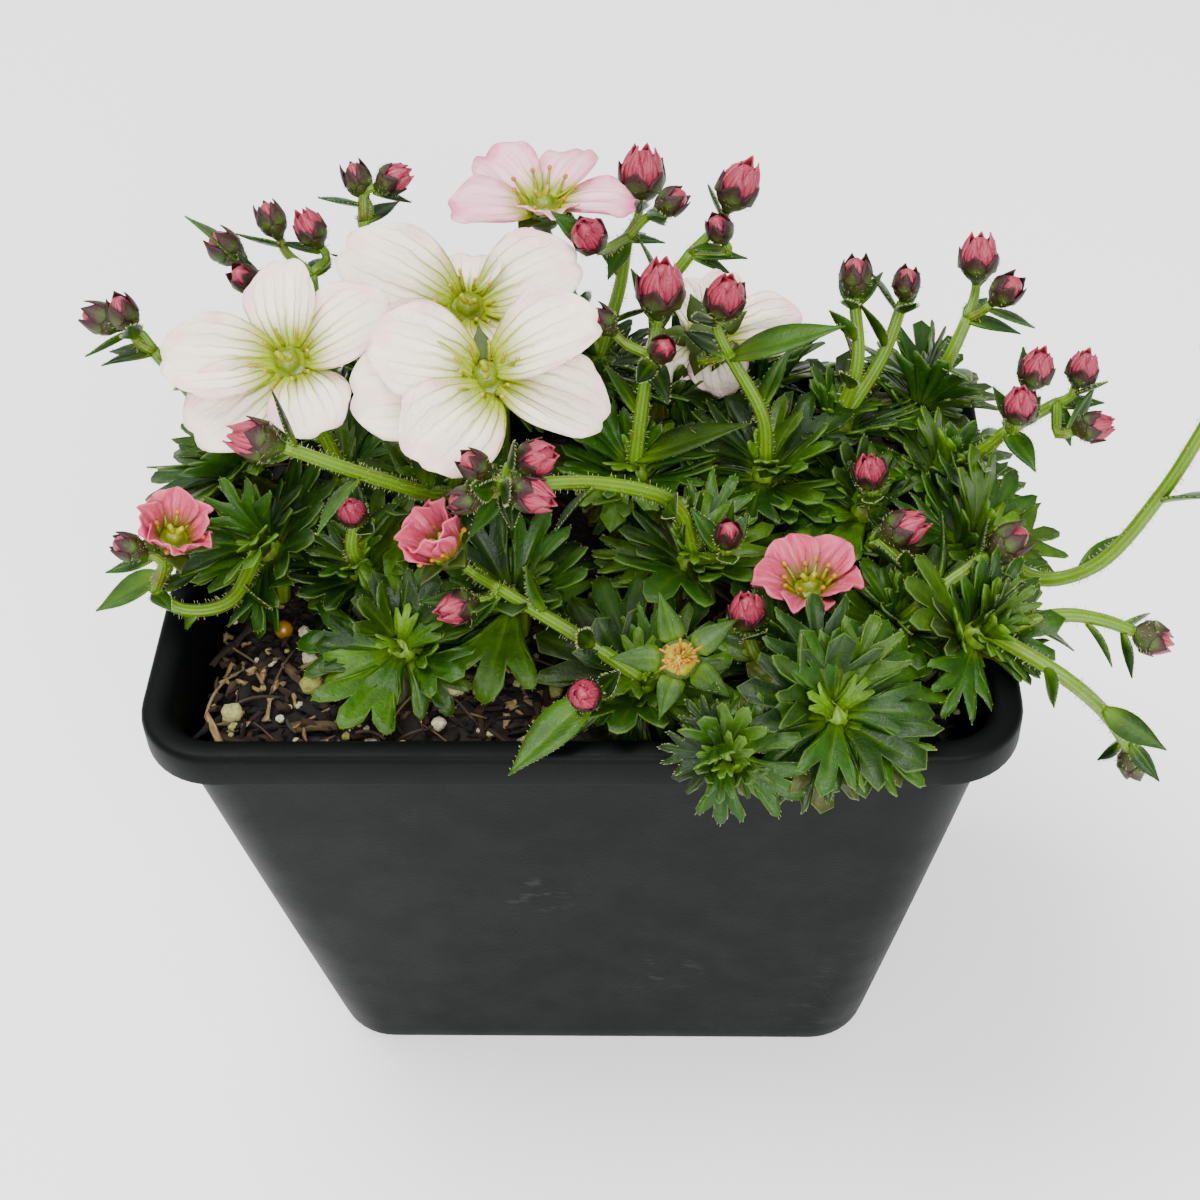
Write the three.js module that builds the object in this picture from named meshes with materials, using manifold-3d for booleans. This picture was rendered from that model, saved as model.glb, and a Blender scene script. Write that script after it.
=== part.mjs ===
// White mossy saxifrage in flower, in a small oblong nursery pot. Millimetres, +Z up, +X to the right of
// the pot's long front side, -Y towards the viewer. The origin is the middle of the pot's underside.

import * as THREE from 'three';
import { mergeVertices } from 'three/addons/utils/BufferGeometryUtils.js';
import Module from 'manifold-3d';

const wasm = await Module();
wasm.setup();

// Driving dimensions: the pot
const POT_WIDTH = 100;
const POT_DEPTH = 70;
const POT_HEIGHT = 75;
const RIM_CORNER = 9;
const BASE_WIDTH = 74;
const BASE_DEPTH = 45;
const BASE_CORNER = 8;
const LIP_OVERHANG = 2.2;
const LIP_HEIGHT = 4.6;
const LIP_TOP = 1.2;
const SKIRT = 0.9;
const WALL = 1.2;
const FLOOR = 1.6;
const EDGE = 0.6;
const CORNER_STEPS = 3;
const DRAIN_RADIUS = 3.4;
const DRAIN_X = 25;
const DRAIN_Y = 12;
const DRAIN_SIDES = 10;

// Driving dimensions: the soil
const GAP = 0.35;
const SOIL_LEVEL = 68;
const SOIL_SHOULDER = 4.5;
const SOIL_SHRINK = 2.2;
const HOLE_RADIUS = 2.1;
const HOLE_SIDES = 5;
const HOLE_DEPTH = 9;
const CHIPS = 12;

// Driving dimensions: the plant. Stems are five-sided, and every blade grows out of a face of what bears it.
const SIDES = 5;
const STALK_RADIUS = 1.2;
const STALK_RISE = 2;
const CROWN_RADIUS = 1.9;
const CROWN_FOOT = -3.6;
const LOW_BELT = -2.4;
const HIGH_BELT = -0.7;
const STEM_RADIUS = 0.95;
const PEDICEL_RADIUS = 0.7;
const ROOT_HEIGHT = 0.9;
const BRACT_LENGTH = 8;
const STEM_STEP = 6;
const LONG_STEM = 15;
const TIP_RISE = 0.5;
const BEND_TRIES = 20;
const BEND_STEP = 0.3;
const BLADE_TRIES = 24;
const TRIES_PER_SIZE = 8;
const SHRINK = 0.2;
const CLEAR_SHARE = 0.16;
const GOLDEN_ANGLE = 2.39996;
const UP = new THREE.Vector3(0, 0, 1);

// Blades: the right half of the outline from root to tip, as shares of length and of half the width
const LOBED = [[0.4, 0.42], [0.84, 1], [0.74, 0.36], [1, 0]];
const POINTED = [[0.42, 1], [1, 0]];
const NOTCHED = [[0.48, 0.92], [0.92, 0.8], [0.97, 0]];
const LEAF = { outline: LOBED, thickness: 0.8, droop: 0.16, fold: 0.14, breadth: 0.78 };
const BRACT = { outline: POINTED, thickness: 0.7, droop: 0.1, fold: 0.1, breadth: 0.35 };
const SEPAL = { outline: POINTED, thickness: 0.7, droop: 0.1, fold: 0.1, breadth: 0.58 };
const PETAL = { outline: NOTCHED, thickness: 0.7, droop: 0.03, fold: 0.1, breadth: 0.92 };
const STAMEN = { outline: POINTED, thickness: 0.6, droop: 0, fold: 0, breadth: 0.24 };

// A petal ring: its inner and outer radius, its height, and the pitch of the petals
const OPEN_RING = { inner: 2.3, outer: 3.7, height: 0.9, pitch: 0.3 };
const CUP_RING = { inner: 2, outer: 3, height: 0.9, pitch: 1 };

const COLOURS = {
	pot: { color: 0x262b2b, roughness: 0.5, metalness: 0 },
	soil: { color: 0x2c211a, roughness: 0.95, metalness: 0 },
	shoot: { color: 0x4f8a2a, roughness: 0.6, metalness: 0 },
	white: { color: 0xf3efe6, roughness: 0.6, metalness: 0 },
	blush: { color: 0xf0d3d8, roughness: 0.6, metalness: 0 },
	pink: { color: 0xd9768d, roughness: 0.6, metalness: 0 },
};

// One flower head: where its middle is, which way it faces, its size and its turn about that axis.
// Bends give, for each petal of an open bloom, its extra yaw and pitch and its share of the usual length.
function head(kind, at, facing, size = 1, turn = 0, colour = 'pink', bends = []) {
	return { kind, at, facing, size, turn, colour, bends };
}

// Leafy shoots, each rooted in its own hole. A stem runs from the crown along its path to a fork,
// and from the fork a short stalk runs to each head. A bow is a point that a stalk arches over to its crown.
const SHOOTS = [
	{
		name: 'back_left', root: [-35, 21], crown: [-35, 21, 80], lean: [-0.3, 0.2], leaves: 7, length: 12,
		stems: [{
			path: [[-34, 23, 90], [-34, 25, 97]],
			heads: [
				head('bud', [-34, 28, 102], [-0.4, 0.1, 1], 0.8),
				head('closed', [-44, 25, 101], [-0.6, 0, 0.8], 1),
				head('closed', [-38.5, 28, 103], [-0.3, 0.2, 1], 0.9),
				head('closed', [-41, 20, 100], [-0.4, -0.4, 0.8], 0.85),
			],
		}],
	},
	{
		name: 'back_left_inner', root: [-24, 25], crown: [-24, 25, 81], lean: [-0.1, 0.4], leaves: 6, length: 11,
		stems: [{
			path: [[-27, 29, 93], [-28, 32, 100]],
			heads: [
				head('bud', [-23.5, 34, 105], [0.9, 0, 0.45], 0.8),
				head('closed', [-28.5, 35, 104], [-0.3, 0.2, 1], 0.9),
			],
		}],
	},
	{
		name: 'back_middle_left', root: [-12, 22], crown: [-12, 23, 82], lean: [0, 0.3], leaves: 7, length: 12,
		stems: [{
			path: [[-13, 21, 89]],
			heads: [head('bloom', [-14, 18, 97], [0.1, -0.5, 0.85], 15, -0.3, 'white',
				[[0.1, 0, 0.98], [0, -0.4, 0.38], [0.03, 0, 1.2]])],
		}],
	},
	{
		name: 'back_middle', root: [1, 26], crown: [1, 26, 83], lean: [0.1, 0.4], leaves: 7, length: 10,
		stems: [
			{
				path: [[-3, 30, 92]],
				heads: [head('bloom', [-5.3, 32, 102], [0, -0.08, 1], 12.2, 0.48, 'blush',
					[[0, -0.1], [0, -0.1], [-0.1, -0.1, 1.1], [0, 0.4, 0.6], [0, -0.1, 1.1]])],
			},
			{
				path: [[4, 30, 91], [5, 32, 97]],
				heads: [
					head('bud', [7, 37, 103.5], [0.1, 0.1, 1], 1.2),
					head('bud', [0.7, 22, 104.5], [-0.2, -0.5, 0.8], 0.9),
					head('closed', [10.5, 33, 101.5], [0.8, 0, 0.6], 0.9),
				],
			},
		],
	},
	{
		name: 'back_middle_right', root: [10, 23], crown: [10, 24, 81], lean: [0.1, 0.3], leaves: 7, length: 10,
		stems: [{
			path: [[8.5, 28, 89], [13, 30, 96]],
			heads: [
				head('bud', [19, 31, 105.5], [0.4, 0, 1], 1.1),
				head('closed', [16.6, 29.5, 99.8], [-0.3, -0.2, 1], 0.85),
			],
		}],
	},
	{
		name: 'back_rim', root: [21.5, 26], crown: [22, 27, 80], lean: [0, 0.5], leaves: 7, length: 10,
		stems: [],
	},
	{
		name: 'back_right', root: [31.5, 17], crown: [31.5, 16.5, 80], lean: [0, 0.3], leaves: 8, length: 10.5,
		stems: [
			{ path: [[33.5, 18, 88]], heads: [head('closed', [33, 23, 97.2], [0, 0.2, 1], 0.95)] },
			{ path: [[37, 21, 87]], heads: [head('closed', [39.5, 25, 94.5], [0.1, 0.1, 1], 0.85)] },
		],
	},
	{
		name: 'back_right_corner', root: [41, 22], crown: [43, 22, 80], lean: [0.4, 0.3], leaves: 7, length: 10.5,
		stems: [{
			path: [[45, 20, 87], [47, 22, 91.5]],
			heads: [
				head('bud', [48, 25, 98.8], [0, 0.1, 1], 1),
				head('closed', [51, 21, 96.3], [0.5, -0.2, 0.8], 0.95),
			],
		}],
	},
	{
		name: 'left_rim', root: [-41, 10], crown: [-43.5, 9.5, 80.5], lean: [-0.6, 0.1], leaves: 7, length: 12,
		stems: [{
			path: [[-47, 10, 89], [-51, 10, 97]],
			heads: [
				head('closed', [-53.5, 10, 102.5], [-0.2, 0, 1], 0.9),
				head('closed', [-56.5, 11, 101], [-1, 0, 0.5], 0.95),
			],
		}],
	},
	{
		name: 'left_bloom', root: [-29, 8], crown: [-30, 7, 80], lean: [-0.2, 0], leaves: 6, length: 12,
		stems: [{
			path: [[-32, 7, 88]],
			heads: [head('bloom', [-33.7, 5, 99], [-0.1, -0.55, 0.8], 14, -0.3, 'white',
				[[0.1, 0, 1.06], [0.02, 0, 0.92], [0.32, 0.1, 1.19], [-0.38, -0.2, 1.15], [-0.24, 0, 0.75]])],
		}],
	},
	{
		name: 'middle_left', root: [-16, 4], crown: [-16, 3, 80], lean: [0, -0.1], leaves: 7, length: 11,
		stems: [
			{
				path: [[-14, 1, 90]],
				heads: [head('bloom', [-10, -2, 102], [0, -0.45, 0.89], 15.5, 1.75, 'white',
					[[0.68, 0.15], [-0.46, -0.3, 1.13], [-0.85, -0.05, 0.95], [-0.2, -0.3], [-0.84, 0]])],
			},
			{
				path: [[-18, -4, 86.5], [-25.3, -9, 94.5]],
				heads: [head('bud', [-35.5, -11, 101], [-1, 0, 0.35], 0.95)],
			},
		],
	},
	{
		name: 'middle', root: [6, 8], crown: [6, 8, 80], lean: [0, 0.1], leaves: 7, length: 12,
		stems: [{
			path: [[7, 10, 88], [8, 12, 94]],
			heads: [
				head('bud', [9.5, 15, 102], [0.1, 0, 1], 1.2),
				head('closed', [9.5, 8.5, 97.5], [0.3, -0.5, 0.8], 0.8),
				head('closed', [2.5, 13.5, 98], [-0.6, 0, 0.8], 0.8),
			],
		}],
	},
	{
		name: 'middle_right', root: [21, 8], crown: [22, 8, 80], lean: [0, 0], leaves: 7, length: 11,
		stems: [{
			path: [[21.5, 9, 87], [17.5, 12, 94]],
			heads: [
				head('bloom', [15, 19.5, 91], [0.15, 1, -0.1], 12, 0.42, 'white',
					[[0.26, 0], [-0.2, 0, 0.9], [0, 0.6, 0.7], [0, 0.6, 0.7], [0, 0, 1.1]]),
				head('bud', [17, 12.5, 102.3], [0.2, -0.2, 1], 1),
			],
		}],
	},
	{
		name: 'right_inner', root: [34, 3], crown: [34, 3, 78], lean: [0, 0], leaves: 7, length: 10,
		stems: [{ path: [[34.6, 0.8, 80.5]], heads: [head('bud', [34, 0, 86], [-0.1, -0.1, 1], 0.8)] }],
	},
	{
		name: 'right_rim', root: [41, 8], crown: [44, 8, 79], lean: [0.5, 0.1], leaves: 8, length: 10.5,
		stems: [
			{
				path: [[48, 6, 84], [50.5, 5, 88]],
				heads: [
					head('bud', [51, 3, 93.5], [0, -0.2, 1], 0.85),
					head('bud', [53.5, 8.5, 94.5], [0.2, 0, 1], 0.85),
				],
			},
			{
				path: [[52, 11, 83], [57, 11, 87]],
				heads: [
					head('bud', [59.5, 11, 92.5], [0.2, 0, 1], 0.8),
					head('bud', [61, 6, 87.5], [1, -0.1, 0.4], 0.75),
				],
			},
		],
	},
	{
		name: 'right_outer', root: [41.5, -4], crown: [47, -4, 78.5], lean: [0.7, 0], leaves: 7, length: 11,
		stems: [{
			path: [[53, -10, 78], [59, -12, 82], [65, -11, 92], [69, -10, 103]],
			heads: [
				head('closed', [70.5, -9, 108.5], [0.2, 0.1, 1], 0.9),
				head('closed', [73.5, -8.5, 105.5], [0.8, 0, 0.6], 0.8),
			],
		}],
	},
	{
		name: 'right_trailing', root: [41, -15], crown: [46, -19, 78.5], lean: [0.7, -0.3], leaves: 7, length: 11,
		stems: [
			{ path: [[54, -25, 77.5], [59.5, -25, 71.5]], heads: [head('closed', [64, -25, 62.8], [0.3, 0, -1], 0.85)] },
			{ path: [[55, -17, 79], [60, -17, 78]], heads: [head('bud', [66, -17, 75], [0.8, 0, -0.4], 0.8)] },
		],
	},
	{
		name: 'left_front', root: [-38, -3], crown: [-39, -3, 77.5], lean: [-0.5, -0.2], leaves: 7, length: 12,
		stems: [{
			path: [[-42, -12, 76.5], [-47, -14, 77.5], [-50, -13, 79.5]],
			heads: [
				head('cup', [-47.2, -10, 85], [0.3, -0.1, 0.95], 7, 0, 'pink'),
				head('closed', [-51.5, -13, 86.5], [-0.8, -0.1, 0.6], 0.8),
			],
		}],
	},
	{
		name: 'left_inner', root: [-26, -6], crown: [-27, -6, 77], lean: [-0.1, -0.2], leaves: 8, length: 10.5,
		stems: [{ path: [[-27.5, -6, 80]], heads: [head('bud', [-26.8, -6, 85.5], [0, -0.4, 0.9], 0.7)] }],
	},
	{
		name: 'soil_rosette', root: [-21, -17], crown: [-21, -17, 74.5], lean: [0.1, -0.3], leaves: 7, length: 11,
		stems: [],
	},
	{
		name: 'front_inner', root: [-8, -10], crown: [-8, -10, 76], lean: [0, -0.1], leaves: 7, length: 11,
		stems: [],
	},
	{
		name: 'middle_arching', root: [12, -8], crown: [13, -7, 79], lean: [0.2, 0], leaves: 7, length: 12,
		stems: [
			{
				path: [[11, -8, 88], [3, -12, 95], [-7, -15.5, 98]],
				heads: [
					head('bud', [-3.6, -16, 102.3], [0.7, -0.3, 0.55], 0.85),
					head('bud', [-4, -19, 99.6], [0.8, -0.5, 0.05], 0.85),
					head('closed', [-10.3, -16.5, 101.6], [-0.6, -0.1, 0.8], 0.8),
					head('closed', [-11.5, -18, 98.2], [-0.9, -0.4, 0.1], 0.75),
				],
			},
			{ path: [[17, -10, 82]], heads: [head('closed', [17, -11, 86], [0.1, -0.2, 1], 0.8)] },
		],
	},
	{
		name: 'front_spent', root: [6, -22], crown: [7, -23, 75], lean: [-0.1, -0.4], leaves: 6, length: 12,
		stems: [
			{
				path: [[1, -21, 79], [-9, -16, 82.5]],
				heads: [
					head('cup', [-15, -13.5, 86.6], [-0.5, -0.1, 0.85], 7.5, 0.3, 'pink',
						Array(SIDES).fill([0, 0.25])),
					head('bud', [-14, -18.5, 82], [-0.7, -0.5, 0.2], 0.8),
				],
			},
			{ path: [[10, -25, 78.5]], heads: [head('star', [11.5, -27, 82.5], [0.05, -0.6, 0.8], 1)] },
			{ path: [[3, -26, 76.5]], heads: [head('bud', [1, -30, 80], [-0.2, -0.6, 0.8], 0.75)] },
		],
	},
	{
		name: 'front_cup', root: [23, -21], crown: [23, -21, 76], lean: [0.1, -0.2], leaves: 7, length: 10.5,
		stems: [
			{
				path: [[29.5, -17, 76.5]],
				heads: [head('cup', [26.3, -14.5, 81], [-0.05, 0.02, 1], 7.8, 0.2, 'pink',
					Array(SIDES).fill([0, -0.4]))],
			},
			{ path: [[20, -23, 79]], heads: [head('bud', [19, -21, 84], [0, -0.1, 1], 0.85)] },
		],
	},
	{
		name: 'front_rim', root: [18, -25.5], crown: [16.5, -38, 79], lean: [-0.2, -1.1], leaves: 7, length: 7.5,
		bow: [18, -31, 78.3], stems: [],
	},
	{
		name: 'front_right_rim', root: [30, -25.5], crown: [28.5, -32.5, 80], lean: [0.3, -0.5], leaves: 6, length: 13,
		bow: [29.7, -28, 76], stems: [],
	},
	{
		name: 'front_right', root: [35, -14], crown: [37, -16, 77], lean: [0.2, -0.2], leaves: 8, length: 10.5,
		stems: [
			{ path: [[41, -15, 81], [46, -12, 83]], heads: [head('closed', [49, -10.5, 84.2], [0.8, 0.2, 0.5], 1)] },
			{ path: [[37.5, -12, 81]], heads: [head('bud', [37.5, -9, 85.2], [0.9, 0, 0.5], 0.9)] },
		],
	},
];

// A repeatable draw from 0 to 1 for item n of series salt
function draw(n, salt) {
	const value = Math.sin(n * 12.9898 + salt * 78.233) * 43758.5453;
	return value - Math.floor(value);
}

function vector([x, y, z]) {
	return new THREE.Vector3(x, y, z);
}

// A closed geometry as a solid whose faces point outwards
function solid(geometry) {
	geometry.deleteAttribute('normal');
	geometry.deleteAttribute('uv');
	const merged = mergeVertices(geometry, 1e-4);
	const triVerts = Uint32Array.from(merged.index.array);
	const vertProperties = Float32Array.from(merged.attributes.position.array);
	const made = new wasm.Manifold(new wasm.Mesh({ numProp: 3, vertProperties, triVerts }));
	if (made.volume() > 0) return made;
	for (let i = 0; i < triVerts.length; i += 3) {
		[triVerts[i], triVerts[i + 1]] = [triVerts[i + 1], triVerts[i]];
	}
	return new wasm.Manifold(new wasm.Mesh({ numProp: 3, vertProperties, triVerts }));
}

// The solid as a geometry: its largest body, so without loose scraps and sealed hollows
function geometryOf(body) {
	const bodies = body.decompose();
	bodies.sort((a, b) => b.volume() - a.volume());
	const mesh = bodies[0].simplify(0.01).getMesh();
	const geometry = new THREE.BufferGeometry();
	geometry.setAttribute('position', new THREE.BufferAttribute(Float32Array.from(mesh.vertProperties), 3));
	geometry.setIndex(new THREE.BufferAttribute(Uint32Array.from(mesh.triVerts), 1));
	geometry.computeVertexNormals();
	return geometry;
}

function part(name, body, colour) {
	const mesh = new THREE.Mesh(geometryOf(body), new THREE.MeshStandardMaterial(COLOURS[colour]));
	mesh.name = name;
	return mesh;
}

// A skin of triangles over points, closed when all of its faces are set
class Skin {
	constructor() {
		this.points = [];
		this.triangles = [];
	}

	add(points) {
		return points.map((point) => this.points.push(point) - 1);
	}

	// Faces between two rings of equal count; a face is left out where grow(side, corners) grows a blade
	band(low, high, grow = () => false) {
		for (let i = 0; i < low.length; i += 1) {
			const j = (i + 1) % low.length;
			if (grow(i, [low[i], low[j], high[j], high[i]])) continue;
			this.triangles.push(low[i], low[j], high[i], low[j], high[j], high[i]);
		}
	}

	// A fan that closes a ring on one point, on the side that its direction points to
	cap(ring, point, facesUp) {
		const [centre] = this.add([point]);
		for (let i = 0; i < ring.length; i += 1) {
			const j = (i + 1) % ring.length;
			this.triangles.push(...(facesUp ? [ring[i], ring[j], centre] : [ring[j], ring[i], centre]));
		}
	}

	// A blade whose root is the open face with these corners
	blade(spec, corners) {
		const { upper, lower, faces } = bladeSheets(spec);
		const last = upper.length - 1;
		const top = [corners[3], ...this.add(upper.slice(1, last)), corners[2]];
		const bottom = [corners[0], ...this.add(lower.slice(1, last)), corners[1]];
		this.sheets(top, bottom, faces);
	}

	sheets(top, bottom, faces) {
		for (const [a, b, c] of faces) {
			this.triangles.push(top[a], top[b], top[c], bottom[c], bottom[b], bottom[a]);
		}
		for (let i = 0; i + 1 < top.length; i += 1) {
			this.triangles.push(bottom[i], bottom[i + 1], top[i + 1], bottom[i], top[i + 1], top[i]);
		}
	}

	solid() {
		const vertProperties = Float32Array.from(this.points.flatMap((p) => p.toArray()));
		const triVerts = Uint32Array.from(this.triangles);
		return new wasm.Manifold(new wasm.Mesh({ numProp: 3, vertProperties, triVerts }));
	}
}

// Upper and lower points of a blade, from one side of its root round the tip to the other, and its faces.
// It lies along +X with its upper side to +Z, droops towards its tip and is folded at its midrib.
function bladeSheets({ form, length, width, root, at, turn, pitch }, grow = 0, from = 0) {
	const reach = length + grow;
	const half = width / 2 + grow;
	const right = [[from, (root / 2 + grow) / half], ...form.outline];
	const left = right.slice(0, -1).reverse().map(([x, y]) => [x, -y]);
	const contour = [...right, ...left].map(([x, y]) => new THREE.Vector2(x * reach, -y * half));
	const tip = new THREE.Quaternion().setFromAxisAngle(new THREE.Vector3(0, 1, 0), -pitch);
	const rotation = turn.clone().multiply(tip);
	const sheet = (side) => contour.map(({ x, y }) => {
		const bend = form.fold * Math.abs(y) - form.droop * x * x / length;
		const z = bend + side * (form.thickness / 2 + grow);
		return new THREE.Vector3(x, y, z).applyQuaternion(rotation).add(at);
	});
	return { upper: sheet(1), lower: sheet(-1), faces: THREE.ShapeUtils.triangulateShape(contour, []) };
}

// A blade closed at its root, to test what it would cross
function closedBlade(spec, grow, from) {
	const { upper, lower, faces } = bladeSheets(spec, grow, from);
	const skin = new Skin();
	const top = skin.add(upper);
	const bottom = skin.add(lower);
	skin.sheets(top, bottom, faces);
	const last = top.length - 1;
	skin.triangles.push(bottom[last], bottom[0], top[0], bottom[last], top[0], top[last]);
	return skin.solid();
}

// A closed body through rings of equal point counts, capped at both ends from the ring's middle
function loft(rings) {
	const skin = new Skin();
	const sets = rings.map((ring) => skin.add(ring));
	for (let i = 0; i + 1 < sets.length; i += 1) {
		skin.band(sets[i], sets[i + 1]);
	}
	skin.cap(sets[0], middleOf(rings[0]), false);
	skin.cap(sets.at(-1), middleOf(rings.at(-1)), true);
	return skin.solid();
}

function middleOf(points) {
	const middle = new THREE.Vector3();
	points.forEach((point) => middle.addScaledVector(point, 1 / points.length));
	return middle;
}

// A rounded rectangle of half sizes a and b at height z
function roundedRing(a, b, corner, z) {
	const points = [];
	for (let quarter = 0; quarter < 4; quarter += 1) {
		const middleX = (quarter === 1 || quarter === 2 ? -1 : 1) * (a - corner);
		const middleY = (quarter > 1 ? -1 : 1) * (b - corner);
		for (let step = 0; step <= CORNER_STEPS; step += 1) {
			const angle = (quarter + step / CORNER_STEPS) * Math.PI / 2;
			const x = middleX + corner * Math.cos(angle);
			const y = middleY + corner * Math.sin(angle);
			points.push(new THREE.Vector3(x, y, z));
		}
	}
	return points;
}

// The ring of the tapering pot wall at height z, moved in by inset
function wallRing(z, inset, level = z) {
	const t = z / POT_HEIGHT;
	const mix = (low, high) => low + (high - low) * t;
	const a = mix(BASE_WIDTH, POT_WIDTH - 2 * LIP_OVERHANG) / 2 - inset;
	const b = mix(BASE_DEPTH, POT_DEPTH - 2 * LIP_OVERHANG) / 2 - inset;
	return roundedRing(a, b, mix(BASE_CORNER, RIM_CORNER - LIP_OVERHANG) - inset, level);
}

function rimRing(z, inset) {
	return roundedRing(POT_WIDTH / 2 - inset, POT_DEPTH / 2 - inset, RIM_CORNER - inset, z);
}

// Thin-walled pot with a rolled lip, whose skirt hangs clear of the wall, and four drainage holes
function makePot() {
	const underLip = POT_HEIGHT - LIP_TOP;
	let pot = loft([
		wallRing(0, EDGE),
		wallRing(EDGE, 0),
		wallRing(underLip, 0),
		rimRing(underLip, SKIRT),
		rimRing(POT_HEIGHT - LIP_HEIGHT, SKIRT),
		rimRing(POT_HEIGHT - LIP_HEIGHT, 0),
		rimRing(POT_HEIGHT - EDGE, 0),
		rimRing(POT_HEIGHT, EDGE),
		wallRing(POT_HEIGHT, WALL - EDGE),
		wallRing(POT_HEIGHT - EDGE, WALL),
		wallRing(FLOOR, WALL),
	]);
	for (const x of [-DRAIN_X, DRAIN_X]) {
		for (const y of [-DRAIN_Y, DRAIN_Y]) {
			const drain = new THREE.CylinderGeometry(DRAIN_RADIUS, DRAIN_RADIUS, 4 * FLOOR, DRAIN_SIDES);
			drain.rotateX(Math.PI / 2);
			drain.translate(x, y, 0);
			pot = pot.subtract(solid(drain));
		}
	}
	return pot;
}

// Height of the uneven soil surface
function soilHeight(x, y) {
	const swell = 0.8 * Math.sin(0.16 * x + 1) * Math.cos(0.19 * y);
	return SOIL_LEVEL + swell + 0.5 * Math.sin(0.47 * x - 0.33 * y + 2);
}

// The filling up to its uneven surface, a little shrunk from the wall at the top
function makeSoil() {
	const shoulder = SOIL_LEVEL - SOIL_SHOULDER;
	const rings = [wallRing(FLOOR + GAP, WALL + GAP), wallRing(shoulder, WALL + GAP)];
	for (const scale of [1, 0.8, 0.55, 0.28]) {
		const ring = wallRing(SOIL_LEVEL, WALL + GAP + SOIL_SHRINK);
		for (const point of ring) {
			point.x *= scale;
			point.y *= scale;
			point.z = soilHeight(point.x, point.y) - (scale === 1 ? 1 : 0);
		}
		rings.push(ring);
	}
	const pieces = [loft(rings)];
	for (let i = 0; i < CHIPS; i += 1) {
		pieces.push(makeChip(i));
	}
	let soil = wasm.Manifold.union(pieces);
	for (const shoot of SHOOTS) {
		const hole = new THREE.CylinderGeometry(HOLE_RADIUS, HOLE_RADIUS, 2 * HOLE_DEPTH, HOLE_SIDES);
		hole.rotateX(Math.PI / 2);
		hole.translate(shoot.root[0], shoot.root[1], SOIL_LEVEL);
		soil = soil.subtract(solid(hole));
	}
	return soil;
}

// A chip of bark lying half sunk in the bare front left of the soil
function makeChip(i) {
	const x = -37 + 34 * draw(i, 1);
	const y = -25 + 14 * draw(i, 2);
	const chip = new THREE.BoxGeometry(2.6 + 4 * draw(i, 3), 1.3 + 1.2 * draw(i, 4), 1.4);
	chip.rotateY(0.5 * (draw(i, 5) - 0.5));
	chip.rotateZ(Math.PI * draw(i, 6));
	chip.translate(x, y, soilHeight(x, y) + 0.3);
	return solid(chip);
}

// One ring of a stem: its middle, the way the stem runs there, its radius and its turn in shares of a side
function station(centre, direction, radius, phase = 0) {
	return { centre, direction, radius, phase, blades: [] };
}

// Ring points round each station, with the frame carried along the stem so that it doesn't twist
function ringsOf(stations) {
	const normal = new THREE.Vector3(1, 0, 0);
	let previous = UP;
	return stations.map(({ centre, direction, radius, phase }) => {
		normal.applyQuaternion(new THREE.Quaternion().setFromUnitVectors(previous, direction));
		previous = direction;
		const points = [];
		for (let i = 0; i < SIDES; i += 1) {
			const out = normal.clone().applyAxisAngle(direction, 2 * Math.PI * (i + phase) / SIDES);
			points.push(out.multiplyScalar(radius).add(centre));
		}
		return points;
	});
}

// A stem over its stations, ending in a point or, with none, in a crown of sepals. Each blade of a station
// grows out of the face between it and the next one.
function stemBody(stations, tip) {
	const rings = ringsOf(stations);
	const skin = new Skin();
	const sets = rings.map((ring) => skin.add(ring));
	for (let i = 0; i + 1 < sets.length; i += 1) {
		skin.band(sets[i], sets[i + 1], (side, corners) => {
			const spec = stations[i].blades[side];
			if (spec) skin.blade(spec, corners);
			return Boolean(spec);
		});
	}
	skin.cap(sets[0], stations[0].centre, false);
	if (tip) skin.cap(sets.at(-1), tip, true);
	else addCrown(skin, sets.at(-1), stations.at(-1));
	return skin.solid();
}

// Five pointed sepals on the rim of a cup, with a hollow between them
function addCrown(skin, outer, { centre, direction, radius }) {
	const { rise, spread, inset, floor } = SEPAL_CROWN;
	const scale = radius / CUP_RIM;
	const points = outer.map((index) => skin.points[index]);
	const inner = skin.add(points.map((p) => p.clone().lerp(centre, inset)));
	const tips = skin.add(points.map((p, i) => (
		p.clone().add(points[(i + 1) % SIDES]).multiplyScalar(0.5).sub(centre).multiplyScalar(spread)
			.add(centre).addScaledVector(direction, rise * scale)
	)));
	for (let i = 0; i < SIDES; i += 1) {
		const j = (i + 1) % SIDES;
		skin.triangles.push(outer[i], outer[j], tips[i], inner[j], inner[i], tips[i]);
		skin.triangles.push(outer[j], inner[j], tips[i], inner[i], outer[i], tips[i]);
	}
	skin.cap(inner, centre.clone().addScaledVector(direction, -floor * scale), true);
}

// The turn that takes +Z to a direction, after a turn about +Z
function facing(direction, turn = 0) {
	const aim = new THREE.Quaternion().setFromUnitVectors(UP, direction);
	return aim.multiply(new THREE.Quaternion().setFromAxisAngle(UP, turn));
}

// The frame of a blade on one face of a band: +X out of the face, +Z along the stem
function faceFrame(corners, direction, yaw) {
	const at = middleOf(corners);
	const across = corners[1].clone().sub(corners[0]).normalize();
	const out = across.clone().cross(direction).normalize();
	const basis = new THREE.Matrix4().makeBasis(out, direction.clone().cross(out), direction);
	const turn = new THREE.Quaternion().setFromRotationMatrix(basis);
	turn.multiply(new THREE.Quaternion().setFromAxisAngle(UP, yaw));
	return { at, turn, root: corners[0].distanceTo(corners[1]) };
}

// Every solid set so far, with the shoot that owns it, so that later ones can keep clear of other shoots
const placed = [];

function record(owner, body) {
	placed.push({ owner, body, box: body.boundingBox() });
	return body;
}

function apart(a, b) {
	return [0, 1, 2].some((k) => a.min[k] > b.max[k] || b.min[k] > a.max[k]);
}

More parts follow.
